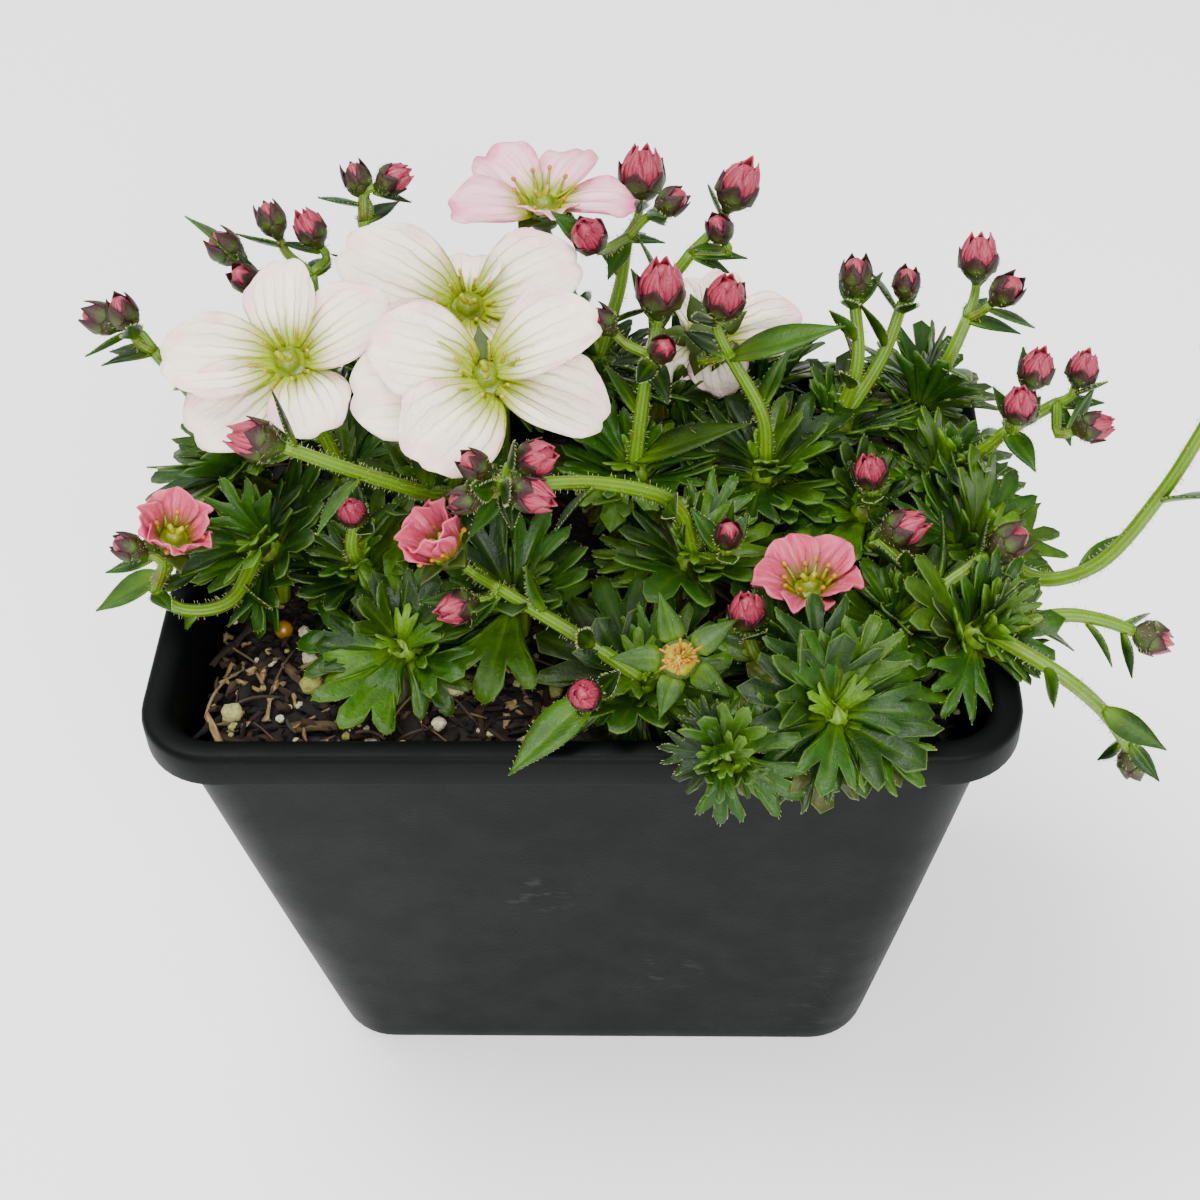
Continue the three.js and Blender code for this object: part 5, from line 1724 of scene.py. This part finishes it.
    def _thread(self, points: Array, step: float, radii: tuple[float, float], sides: int,
                tissue: Tissue,
                tone: float) -> Array:
        """Adds a thin thread through some points, between two radii, and gives its line.

        Args:
            points: The points that it passes.
            step: The distance between its rings.
            radii: Its radius at its foot and at its tip.
            sides: The points of each ring.
            tissue: Its finish.
            tone: Its random share.

        Returns:
            The points of its line.
        """
        line = smooth_line(list(points), step)
        self.shell.add(swept_tube(line, np.linspace(*radii, len(line)), sides), tissue,
                       (tone, 0, 0))
        return line

    def _head(self, head: Head, seed: float) -> None:
        """The green parts of a head, by its kind.

        Args:
            head: The head.
            seed: A number for its small differences.
        """
        rotation, axis, scale = facing(head.axis(), head.turn), head.axis(), head.scale
        at = np.array(head.at, float)
        if head.is_open:
            self._open_head(head, at, rotation, seed)
        elif head.kind is HeadKind.STAR:
            self._star(at - SPENT_DEPTH * scale * axis, rotation, scale, seed)
        elif head.kind is HeadKind.BUD:
            base = at - BUD_DEPTH * scale * axis
            self._turned(BUD_CUP, base, rotation, scale, Tissue.CALYX, (0.5, 0.75, 0))
            self._sepals(base, rotation, scale, BUD_SEPALS, seed)
        else:
            base = at - CLOSED_DEPTH * scale * axis
            self._turned(CLOSED_CUP, base, rotation, scale, Tissue.CALYX, (0.5, 0.8, 0))
            self._turned(CLOSED_TIP, base, rotation, scale, Tissue.PETAL, ribs=0.08)
            self._sepals(base, rotation, scale, CLOSED_SEPALS, seed)

    def _sepals(self, base: Array, rotation: Array, scale: float, form: SepalForm,
                seed: float) -> None:
        """Five sepals round a cup, and the hairs on both.

        Args:
            base: The foot of the cup.
            rotation: The head's frame.
            scale: A factor on all sizes.
            form: How they stand.
            seed: A number for their small differences.
        """
        for k in range(SIDES):
            angle = 2 * math.pi * (k + 0.5) / SIDES + form.turn
            lift = form.pitch + 0.12 * (chance(seed + k, 91) - 0.5)
            turn = rotation @ (turn_z(angle) @ tip_up(lift))
            spot = np.array([form.radius * math.cos(angle), form.radius * math.sin(angle),
                             form.height]) * scale
            long = form.length * scale * (0.92 + 0.16 * chance(seed + k, 92))
            blade = Blade(long, form.width * scale, base + rotation @ spot, turn, form.droop, 0.28,
                          0.4, seed + k)
            self.shell.add(pointed_blade(blade, 0.3, 7), form.tissue, (0.5, form.age, 0))
        n = np.arange(SEPAL_HAIRS) + seed
        around = 2 * np.pi * draw(n, 93)
        rise = 0.3 + (form.height + 0.4) * draw(n, 94)
        out = woven(np.cos(around), np.sin(around), 0.15)
        reach = form.radius * np.clip(0.35 + 0.75 * rise / max(form.height, 1), 0, 1)
        feet = np.column_stack([out[:, 0] * reach, out[:, 1] * reach, rise]) * scale
        hairs = spikes(base + feet @ rotation.T, out @ rotation.T, 0.25 + 0.3 * draw(n, 95),
                       STEM_HAIR_WIDTH)
        self.coat.add(hairs)

    def _open_head(self, head: Head, at: Array, rotation: Array, seed: float) -> None:
        """The calyx, ovary, styles and stamens of an open bloom.

        Args:
            head: The head.
            at: Its middle.
            rotation: Its frame.
            seed: A number for its small differences.
        """
        small = 1.0 if head.kind is HeadKind.BLOOM else 0.85
        self._turned(OPEN_CUP, at, rotation, small, Tissue.CALYX, (0.5, 0.25, 0))
        self._sepals(at - 3.2 * small * head.axis(), rotation, small, OPEN_SEPALS, seed)
        self._turned(OPEN_OVARY, at, rotation, small, Tissue.THROAT, (0.1, 0, 0), 0.06, 20)
        for side in (-1, 1):
            local = np.array([[0.35 * side, 0, 1.2], [0.5 * side, 0, 1.9],
                              [1.0 * side, 0.2, 2.6]]) * small
            self._thread(at + local @ rotation.T, 0.35, (0.48, 0.3), 7, Tissue.THROAT, 0.7)
        ripe = ANTHER_RIPENESS[head.tint]
        for k in range(2 * SIDES):
            angle = math.pi * (k + 0.5) / SIDES + 0.3 * (chance(seed + k, 101) - 0.5)
            lift = (0.7 if k % 2 else 1.0) + 0.35 * chance(seed + k, 102)
            long = (2.7 if k % 2 else 2.2) * (0.85 + 0.5 * chance(seed + k, 103)) * small
            long *= 1.2 if head.tint is Tint.BLUSH else 0.85
            out = spoke(angle)
            aim = math.cos(lift) * out + math.sin(lift) * UP
            foot = 2.2 * small * out + 0.1 * UP
            local = np.array([foot, foot + aim * long * 0.5 + 0.15 * UP, foot + aim * long])
            line = self._thread(at + local @ rotation.T, 0.5, (0.28, 0.15), 6, Tissue.THROAT, 0.6)
            turn = rotation @ facing(unit(aim + 0.5 * out))
            self._turned(ANTHER_BODY, line[-1], turn, 0.65 + 0.25 * ripe, Tissue.ANTHER,
                         (ripe, 0, 0), 0, 8)

    def _star(self, base: Array, rotation: Array, scale: float, seed: float) -> None:
        """A spent head: spread green sepals round a ripening ovary with withered stamens.

        Args:
            base: The foot of its cup.
            rotation: Its frame.
            scale: A factor on all sizes.
            seed: A number for its small differences.
        """
        self._turned(SPENT_CUP, base, rotation, scale, Tissue.CALYX, (0.5, 0.15, 0))
        self._sepals(base, rotation, scale, SPENT_SEPALS, seed)
        self._turned(SPENT_OVARY, base, rotation, scale, Tissue.THROAT, (1, 0, 0), 0.05)
        for k in range(6 * SIDES):
            angle = GOLDEN_ANGLE * k
            lift = 0.25 + 1.2 * chance(seed + k, 111)
            long = 0.6 + 0.5 * chance(seed + k, 112)
            aim = np.array([math.cos(angle) * math.cos(lift), math.sin(angle) * math.cos(lift),
                            math.sin(lift)])
            local = np.array([1.2 * aim + 2.2 * UP, 2.3 * long * aim + 2.3 * UP,
                              3.0 * long * aim + 2.1 * UP]) * scale
            tone = 0.8 + 0.2 * chance(seed + k, 113)
            self._thread(base + local @ rotation.T, 0.5, (0.22, 0.14), 5, Tissue.ANTHER, tone)


@dataclass(frozen=True)
class CorollaForm:
    """How the petals of a bloom stand and bend. A pair is a least value and its random addition.

    Args:
        ring: The radius of the ring round the ovary.
        pitch: How steeply they rise.
        width: Their width, as a share of their length.
        droop: How far their tips hang.
        curl: How far their sides roll up.
        ruffle: The height of the ruffles.
    """

    ring: float
    pitch: float
    width: float
    droop: tuple[float, float]
    curl: tuple[float, float]
    ruffle: tuple[float, float]


OPEN_COROLLA = CorollaForm(3.7, 0.3, 1.04, (0.1, 0.14), (0.0, 0.35), (0.35, 0.45))
HALF_OPEN_COROLLA = CorollaForm(3.0, 1.0, 1.4, (0.12, 0.0), (0.1, 0.0), (0.75, 0.0))
COROLLA_FINISHES = {Tint.WHITE: WHITE_PETAL, Tint.BLUSH: BLUSH_PETAL, Tint.PINK: CUP_PETAL}


@dataclass
class Corolla:
    """The petals of an open or a half-open bloom."""

    head: Head
    name: str
    inner: float = 1.8
    sink: float = 0.05
    claw: float = 0.3
    notch: float = 0.05

    def build(self) -> bpy.types.Object:
        """Makes the five petals.

        Returns:
            The piece that stands for the corolla's node.
        """
        head = self.head
        form = HALF_OPEN_COROLLA if head.kind is HeadKind.CUP else OPEN_COROLLA
        rotation = facing(head.axis(), head.turn)
        tilt = facing(unit(np.array([0, 0.16, 1.0])))
        at = np.array(head.at, float)
        shell = Shell()
        for side in range(SIDES):
            yaw, lift, stretch = head.bends[side]
            yaw += 0.1 * (chance(side, head.size) - 0.5)
            full = (head.size - form.ring) * stretch * (0.95 + 0.1 * chance(side, head.size + 1))
            reach = full + form.ring * math.cos(math.pi / SIDES) - self.inner
            rise = form.pitch + 0.2 * chance(side, head.size + 2) + lift
            angle = 2 * math.pi * (side + 0.5) / SIDES
            spot = np.array([math.cos(angle) * self.inner, math.sin(angle) * self.inner,
                             -self.sink])
            local = turn_z(angle) @ turn_z(yaw) @ tip_up(rise) @ tilt
            seed = side + 10 * head.size + head.at[0]
            width = form.width * full / stretch ** 0.7 * (1.0 + 0.12 * (chance(seed, 121) - 0.5))
            bends = zip((form.droop, form.curl, form.ruffle), (122, 123, 124))
            droop, curl, ruffle = (least + more * chance(seed, salt) for (least, more),
                                   salt in bends)
            blade = Blade(reach, width, at + rotation @ spot, rotation @ local, droop, 0.28, 0.34,
                          seed)
            shell.add(broad_petal(blade, self.claw, self.notch, curl, ruffle))
        piece = shell.piece(f"petals_{self.name}", [COROLLA_FINISHES[head.tint].material()])
        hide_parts(f"corolla_{self.name}")
        return piece


@dataclass
class FurledBud:
    """The furled petals that stand out of a bud's cup."""

    head: Head
    name: str
    foot: float = 2.0

    def build(self) -> bpy.types.Object:
        """Makes five petals that overlap in a spiral.

        Each is a part of a turned egg. Its radius grows across it, so that one side lies over the
        next petal, and its top falls away from its middle to a blunt point.

        Returns:
            The piece that stands for the bud's node.
        """
        head = self.head
        rotation = facing(head.axis(), head.turn)
        base = np.array(head.at, float) - BUD_DEPTH * head.scale * head.axis()
        shell = Shell()
        u, v = shares(11, 9)
        for side in range(SIDES):
            seed = side + 7 * head.size + head.at[0] + head.at[2]
            middle = 2 * math.pi * (side + 0.15 * chance(seed, 131)) / SIDES
            angle = middle + v * 0.92 * (1 - 0.25 * u ** 3)
            tip = 6.1 + 0.8 * chance(seed, 132)
            height = self.foot + (tip - self.foot) * u * (1 - 0.4 * np.abs(v) ** 1.2 * u ** 2)
            mouth = 0.75 + 0.6 * chance(seed, 133)
            swell = 1.7 + 0.4 * np.sin(np.pi * np.minimum(u * 1.1,
                                                          1)) - (1.25 - 0.55 * mouth) * u ** 2.5
            radius = swell + 0.2 * v + 0.05 * np.cos(2.5 * np.pi * v + 3 * mouth) * u
            x, y = radius * np.cos(angle), radius * np.sin(angle)
            grid = woven(x, y, height)
            uvs = woven((v + 1) / 2, 0.3 + 0.7 * u)
            thick = np.broadcast_to(0.3 - 0.1 * u, grid.shape[:2])
            placed = base + head.scale * grid[:, ::-1] @ rotation.T
            shell.add(closed_sheet(placed, thick, uvs[:, ::-1]))
        shell.add(turned_body(BUD_CORE, base, rotation, 12, head.scale))
        piece = shell.piece(f"petals_{self.name}", [BUD_PETAL.material()])
        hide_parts(f"bud_{self.name}")
        return piece


@dataclass
class NurseryPot:
    """The thin-walled oblong pot with its rolled lip."""

    width: float = 100.0
    depth: float = 70.0
    height: float = 75.0
    rim_corner: float = 9.0
    base_width: float = 74.0
    base_depth: float = 45.0
    base_corner: float = 8.0
    overhang: float = 2.2
    lip_height: float = 4.6
    lip_top: float = 1.2
    skirt: float = 0.9
    wall: float = 1.2
    floor: float = 1.6
    drain_radius: float = 3.4
    drain_x: float = 25.0
    drain_y: float = 12.0
    clearance: float = 0.2
    sharp_angle: float = 38.0

    def _section(self, share: Array) -> tuple[Array, Array, Array]:
        """The wall's half width, half depth and corner radius at a share of its height."""
        width = (self.base_width * (1 - share) + (self.width - 2 * self.overhang) * share) / 2
        depth = (self.base_depth * (1 - share) + (self.depth - 2 * self.overhang) * share) / 2
        return width, depth, self.base_corner * (1 - share) + (self.rim_corner
                                                               - self.overhang) * share

    def ring(self, share: Array, out: Array, level: Array, corner_steps: int = 12) -> Array:
        """Rounded rectangles, one for each row.

        Their half sizes go from the base's to the rim's with the share, and both grow by the same
        step out.

        Args:
            share: How far up the wall each shape is taken.
            out: The step outwards from it.
            level: Its height.
            corner_steps: The points round each quarter.

        Returns:
            Rows of rings.
        """
        a, b, r = (size + out for size in self._section(share))
        quarter = np.linspace(0, math.pi / 2, corner_steps)
        parts = []
        for k, (sx, sy) in enumerate(((1, 1), (-1, 1), (-1, -1), (1, -1))):
            angle = quarter + k * math.pi / 2
            x = sx * (a - r)[:, None] + r[:, None] * np.cos(angle)
            y = sy * (b - r)[:, None] + r[:, None] * np.sin(angle)
            parts.append(woven(x, y, level[:, None]))
        return np.concatenate(parts, axis=1)

    def meets(self, points: Array) -> bool:
        """Whether a point is in the wall or the lip, past the inner outline but not the outer."""
        x, y, z = np.abs(points[:, 0]), np.abs(points[:, 1]), points[:, 2]
        share = np.clip(z / self.height, 0, 1)
        a, b, r = (size - self.wall for size in self._section(share))
        a, b = a - self.clearance, b - self.clearance
        past = np.hypot(np.maximum(x - a + r, 0), np.maximum(y - b + r, 0)) > r
        near = self.clearance
        within = (z < self.height + 2 * near) & (x < self.width / 2
                                                 + near) & (y < self.depth / 2 + near)
        return bool(np.any(past & within))

    def _profile(self) -> Array:
        """The pot's section: rows of share, step out and height, with small rounds."""
        top, under = self.height, self.height - self.lip_top
        over, inside = self.overhang, self.overhang - self.skirt
        rows = [(0, -0.9, 0), (0, -0.45, 0.08), (0.002, -0.12, 0.35), (0.01, 0, 0.9)]
        rows += [(z / top, 0.12 * math.sin(math.pi * z / top), z)
                 for z in np.linspace(3, under - 1.2, 16)]
        rows += [(under / top, 0.05, under - 0.4), (0.99, 0.35, under), (1, inside - 0.3, under),
                 (1, inside, under - 0.3)]
        low = top - self.lip_height
        rows += [(1, inside, low + 0.35), (1, inside + 0.12, low + 0.08), (1, inside + 0.35, low),
                 (1, over - 0.3, low)]
        rows += [(1, over - 0.06, low + 0.1), (1, over, low + 0.4), (1, over, low + 2.2),
                 (1, over, top - 1.0)]
        rows += [(1, over - 0.1, top - 0.5), (1, over - 0.35, top - 0.18), (1, over - 0.8, top),
                 (1, 0.4, top)]
        rows += [(1, -0.3, top - 0.1), (1, -0.8, top - 0.4), (0.99, -1.1, top - 0.9)]
        rows += [(z / top, -self.wall, z) for z in np.linspace(top - 2.2, self.floor + 1.2, 14)]
        rows += [(0.02, -self.wall - 0.3, self.floor + 0.35), (0.02, -self.wall - 1.1, self.floor)]
        return np.array(rows, float)

    def build(self) -> bpy.types.Object:
        """Makes the pot and cuts its four drainage holes.

        Returns:
            The piece that stands for the pot's node.
        """
        share, out, level = self._profile().T
        shell = Shell()
        shell.add(closed_tube(self.ring(share, out, level)))
        pot = shell.piece("nursery_pot", [POT_PLASTIC.material()])
        cutter = Shell()
        for sx in (-1, 1):
            for sy in (-1, 1):
                spot = np.array([sx * self.drain_x, sy * self.drain_y, 0.0])
                profile = [(self.drain_radius, -4.0), (self.drain_radius, 4.0)]
                cutter.add(turned_body(profile, spot, np.eye(3), 32))
        drains = cutter.piece("drains", [])
        cut = pot.modifiers.new("drain_holes", "BOOLEAN")
        cut.object, cut.operation, cut.solver = drains, "DIFFERENCE", "EXACT"
        graph = bpy.context.evaluated_depsgraph_get()
        bare = bpy.data.meshes.new_from_object(pot.evaluated_get(graph))
        pot.modifiers.clear()
        pot.data = bare
        bare.set_sharp_from_angle(angle=math.radians(self.sharp_angle))
        bpy.data.objects.remove(drains)
        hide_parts("pot")
        return pot


# The large pale grains: the place, the radius and the tone of each
LARGE_GRAINS = (
    (-32.3, -17.1, 1.6, 0.45), (-28.2, -18.4, 1.5, 0.35), (-41.4, -5.8, 1.2, 0.8),
    (-15.0, -19.5, 1.5, 0.75),
    (-41.0, -22.6, 1.5, 0.7), (-16.5, -24.5, 1.0, 0.9))


@dataclass
class PottingMix:
    """The soil and the loose bits on it."""

    pot: NurseryPot
    gap: float = 0.35
    level: float = 68.0
    shoulder: float = 4.5
    shrink: float = 2.2
    reach_x: float = 44.0
    reach_y: float = 28.5
    front_x: float = 42.0
    front_y: float = 24.0
    front_share: float = 0.45
    chips: int = 14
    splinters: int = 520
    fibres: int = 48
    grains: int = 120
    bead: tuple[float, float] = (-36.7, -9.4)
    bead_radius: float = 1.15

    def surface(self, x: Array, y: Array) -> Array:
        """The height of the soil: two long waves, as in the model."""
        swell = 0.8 * np.sin(0.16 * x + 1) * np.cos(0.19 * y)
        return self.level + swell + 0.5 * np.sin(0.47 * x - 0.33 * y + 2)

    @staticmethod
    def lumps(x: Array, y: Array, seed: float) -> Array:
        """Crumbly unevenness, mostly from -1 to 1: a sum of sines of random ways and lengths."""
        total = np.zeros_like(x)
        for k in range(14):
            angle, pace = ROUGH_TURN * draw(k, seed), 0.7 + 2.2 * draw(k, seed + 1)
            total += np.sin((x * np.cos(angle) + y * np.sin(angle)) * pace
                            + ROUGH_TURN * draw(k, seed + 2))
        return total / 5

    def _inner_ring(self, level: float, inset: float, steps: int = 9) -> Array:
        """One ring along the pot's inner wall at a height, moved in by an inset."""
        share = np.array([level / self.pot.height])
        return self.pot.ring(share, np.array([-self.pot.wall - inset]), np.array([level]), steps)[0]

    @staticmethod
    def _denser(ring: Array) -> Array:
        """A ring with three more points on each side of it."""
        return np.concatenate([np.linspace(ring[k], ring[(k + 1) % len(ring)], 5)[:-1]
                               for k in range(len(ring))])

    def build_soil(self) -> bpy.types.Object:
        """Makes the soil: the wall's shape up to a shoulder, then rings over an uneven top.

        Returns:
            The piece that stands for the soil's node.
        """
        bottom = self.pot.floor + self.gap
        levels = (bottom, 25.0, 50.0, self.level - self.shoulder)
        rings = [self._denser(self._inner_ring(z, self.gap)) for z in levels]
        top = self._denser(self._inner_ring(self.level, self.gap + self.shrink))
        for scale in (1.02, 1.0, *np.linspace(0.975, 0.03, 40)):
            ring = top * [min(scale, 1.0), min(scale, 1.0), 1]
            x, y = ring[:, 0], ring[:, 1]
            ring[:, 2] = self.surface(x, y) + 0.55 * self.lumps(x, y, 201) - 0.2
            if scale >= 1:
                ring[:, 2] -= 2.2 if scale > 1 else 1.0
            rings.append(ring)
        shell = Shell()
        shell.add(closed_tube(np.array(rings)))
        soil = shell.piece("potting_mix", [SOIL.material()])
        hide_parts("soil")
        return soil

    def _chip(self, at: Array, size: Array, turn: Array, seed: float) -> Patch:
        """A splinter: six-sided rings that narrow to both ends, each pushed about a little.

        Args:
            at: Its middle.
            size: Its length, width and height.
            turn: The matrix that turns it.
            seed: A number for its small differences.

        Returns:
            The closed patch.
        """
        along = np.linspace(-0.5, 0.5, 5)[:, None]
        angle = np.linspace(0, 2 * np.pi, 6, endpoint=False)[None]
        n = np.arange(30).reshape(5, 6) + seed
        rough = 1 + 0.9 * (draw(n, 211) - 0.5)
        taper = (0.35 + 0.75 * draw(np.arange(5) + seed, 213))[:, None] * rough
        x = size[0] * (along + 0.2 * (draw(n, 212) - 0.5))
        y, z = size[1] / 2 * np.cos(angle) * taper, size[2] / 2 * np.sin(angle) * taper
        return closed_tube(woven(x, y, z) @ turn.T + at)

    def _scatter(self, count: int, salt: float) -> tuple[Array, Array]:
        """Even random places inside the pot, thicker in the bare front left.

        Args:
            count: The number of places.
            salt: The first of the four series that it draws from.

        Returns:
            Their x and their y.
        """
        n = np.arange(count)
        x = -self.reach_x + 2 * self.reach_x * draw(n, salt)
        y = -self.reach_y + 2 * self.reach_y * draw(n, salt + 1)
        front = n < count * self.front_share
        return (np.where(front, -self.reach_x + self.front_x * draw(n, salt + 2), x),
                np.where(front, -self.reach_y + self.front_y * draw(n, salt + 3), y))

    def build_bark(self) -> bpy.types.Object:
        """Makes the splinters of bark: the model's large ones and many smaller ones."""
        shell = Shell()
        for i in range(self.chips):
            x, y = -37 + 34 * draw(i, 1), -25 + 14 * draw(i, 2)
            size = np.array([2.6 + 4 * draw(i, 3), 1.3 + 1.2 * draw(i, 4), 1.2])
            turn = turn_z(math.pi * chance(i, 6)) @ tip_up(-0.5 * (chance(i, 5) - 0.5))
            at = np.array([x, y, float(self.surface(x, y)) + 0.4])
            shell.add(self._chip(at, size, turn, 30.0 * i), 0, (0.35 + 0.6 * chance(i, 7), 0, 0))
        xs, ys = self._scatter(self.splinters, 220)
        for i, (x, y) in enumerate(zip(xs, ys)):
            size = np.array([1.2 + 5.2 * draw(i, 224) ** 2.4, 0.4 + 1.6 * draw(i, 225) ** 1.6,
                             0.3 + 0.6 * draw(i, 226)])
            turn = turn_z(ROUGH_TURN * chance(i, 227)) @ tip_up(0.9 * (chance(i, 228) - 0.4))
            at = np.array([x, y, float(self.surface(x, y)) + 0.35 + 0.5 * chance(i, 229)])
            shell.add(self._chip(at, size, turn, 7.0 * i), 0, (chance(i, 230) ** 1.25, 0, 0))
        return shell.piece("bark_chips", [BARK.material()])

    def build_fibres(self) -> bpy.types.Object:
        """Makes thin curved roots and fibres that lie on the soil."""
        shell = Shell()
        xs, ys = self._scatter(self.fibres, 240)
        for i, (x, y) in enumerate(zip(xs, ys)):
            heading, long = ROUGH_TURN * draw(i, 244), 2.5 + 5 * draw(i, 245)
            t = np.linspace(-0.5, 0.5, 4)
            bend = (draw(i, 246) - 0.5) * 3
            px = np.clip(x + np.cos(heading) * t * long - np.sin(heading) * bend * t ** 2,
                         -self.reach_x, self.reach_x)
            py = np.clip(y + np.sin(heading) * t * long + np.cos(heading) * bend * t ** 2, -28, 28)
            pz = self.surface(px, py) + 0.6 + 0.9 * draw(i, 247) * (1 - 4 * t ** 2)
            line = smooth_line(list(np.column_stack([px, py, pz])), 0.6)
            shell.add(swept_tube(line, np.full(len(line), 0.09 + 0.14 * draw(i, 248)), 5), 0,
                      (chance(i, 249), 0, 0))
        return shell.piece("root_fibres", [FIBRE.material()])

    def build_perlite(self) -> bpy.types.Object:
        """Makes the pale grains, with the large ones last."""
        shell = Shell()
        n = np.arange(self.grains)
        xs, ys = self._scatter(self.grains, 260)
        sizes = 0.35 + 0.75 * draw(n, 264) ** 2
        tones = 0.55 + 0.45 * draw(n, 265)
        grains = [*zip(xs, ys, sizes, tones), *LARGE_GRAINS]
        for i, (x, y, size, tone) in enumerate(grains):
            rough = size * (1 + 0.3 * (draw(np.arange(48).reshape(6, 8) + 9 * i, 266) - 0.5))
            at = np.array([x, y, float(self.surface(x, y)) + 0.3 + 0.35 * size])
            shell.add(closed_tube(ball(rough, 6, 8, 0.12, 0.75) + at), 0, (float(tone), 0, 0))
        return shell.piece("perlite_grains", [PERLITE.material()])

    def build_bead(self) -> bpy.types.Object:
        """Makes the one round bead of plant feed."""
        at = np.array([*self.bead, float(self.surface(*self.bead)) + 1.2])
        shell = Shell()
        shell.add(closed_tube(ball(self.bead_radius, 12, 20, 0.1) + at))
        return shell.piece("feed_bead", [BEAD.material()])


@dataclass(frozen=True)
class SoftLight:
    """A square soft light: its name, place in metres, power in watts and side in metres."""

    name: str
    at: Point
    power: float
    side: float


LIGHTS = (SoftLight("key", (0.25, -0.95, 0.75), 24.0, 0.75),
          SoftLight("top", (-0.35, 0.1, 1.1), 18.0, 0.6))


@dataclass
class Studio:
    """The pale floor, the soft lights and the camera at the photograph's angle."""

    elevation: float = 45.0
    yaw: float = -3.43
    roll: float = -2.66
    focal_pixels: float = 2013.0
    picture: float = 1200.0
    sensor: float = 36.0
    at: Point = (12.13, -178.76, 243.77)
    aim: Point = (0.0, 0.0, 0.08)
    floor_half: float = 3.0
    floor_glow: float = 0.25
    sky: float = 0.85

    def build(self) -> None:
        """Sets the floor, the lights, the world and the camera."""
        self._floor()
        self._lights()
        self._camera()

    def _floor(self) -> None:
        """A wide pale floor under the pot."""
        far = self.floor_half
        mesh = bpy.data.meshes.new("floor")
        mesh.from_pydata([(-far, -far, 0), (far, -far, 0), (far, far, 0), (-far, far, 0)], [],
                         [(0, 1, 2, 3)])
        floor = add_object("floor", mesh)
        pale = bpy.data.materials.new("floor_pale")
        pale.use_nodes = True
        shader = pale.node_tree.nodes["Principled BSDF"]
        shader.inputs["Base Color"].default_value = (0.9, 0.9, 0.9, 1)
        shader.inputs["Roughness"].default_value = 0.9
        shader.inputs["Emission Color"].default_value = (1, 1, 1, 1)
        shader.inputs["Emission Strength"].default_value = self.floor_glow
        mesh.materials.append(pale)

    def _light(self, soft: SoftLight) -> None:
        """Places a light that looks at the middle of the plant."""
        data = bpy.data.lights.new(soft.name, "AREA")
        data.energy, data.size = soft.power, soft.side
        place = np.array(soft.at)
        back = unit(place - np.array(self.aim))
        side = unit(np.cross(UP, back))
        add_object(soft.name,
                   data).matrix_world = stance(np.column_stack([side, np.cross(back, side), back]),
                                               place)

    def _lights(self) -> None:
        """A large light from in front, a smaller one above, and an even white sky."""
        for soft in LIGHTS:
            self._light(soft)
        world = bpy.data.worlds.new("studio")
        bpy.context.scene.world = world
        world.use_nodes = True
        sky = world.node_tree.nodes["Background"]
        sky.inputs["Color"].default_value = (1.0, 1.0, 1.0, 1)
        sky.inputs["Strength"].default_value = self.sky

    def _camera(self) -> None:
        """A pinhole camera with the photograph's angle, place and focal length."""
        e, yaw, roll = (math.radians(v) for v in (self.elevation, self.yaw, self.roll))
        look = np.array([math.sin(yaw) * math.cos(e), math.cos(yaw) * math.cos(e), -math.sin(e)])
        right = np.array([math.cos(yaw), -math.sin(yaw), 0.0])
        up = np.cross(right, look)
        x = right * math.cos(roll) + up * math.sin(roll)
        y = up * math.cos(roll) - right * math.sin(roll)
        basis = np.column_stack([x, y, -look])
        data = bpy.data.cameras.new("photo_camera")
        data.sensor_width = self.sensor
        data.lens = self.focal_pixels / self.picture * data.sensor_width
        data.clip_start, data.clip_end = 0.01, 20.0
        camera = add_object("photo_camera", data)
        camera.matrix_world = stance(basis, np.array(self.at) * MM)
        bpy.context.scene.camera = camera


def settle(piece: bpy.types.Object) -> None:
    """Lets a piece ride on the one body and reports it.

    Args:
        piece: The finished piece.
    """
    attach(piece, "root")
    LOG.info("%s: %d faces", piece.name, len(piece.data.polygons))


def build_petals(shoot: Shoot) -> None:
    """Makes the petals of every bloom and bud of a shoot, numbered as the model's nodes are."""
    heads = [head for stem in shoot.stems for head in stem.heads
             if head.is_open or head.kind is HeadKind.BUD]
    for number, head in enumerate(heads, 1):
        name = f"{shoot.name}_{number}"
        settle((Corolla if head.is_open else FurledBud)(head, name).build())


def main() -> None:
    """Builds every piece in order."""
    logging.basicConfig(level=logging.INFO, format="%(message)s")
    pot = NurseryPot()
    settle(pot.build())
    mix = PottingMix(pot)
    settle(mix.build_soil())
    for piece in (mix.build_bark(), mix.build_fibres(), mix.build_perlite(), mix.build_bead()):
        settle(piece)
    for index, shoot in enumerate(SHOOTS):
        leafy, hairs = LeafyShootPiece(shoot, index).build()
        settle(leafy)
        settle(hairs)
        build_petals(shoot)
    Studio().build()
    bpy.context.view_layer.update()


if __name__ == "__main__":
    main()
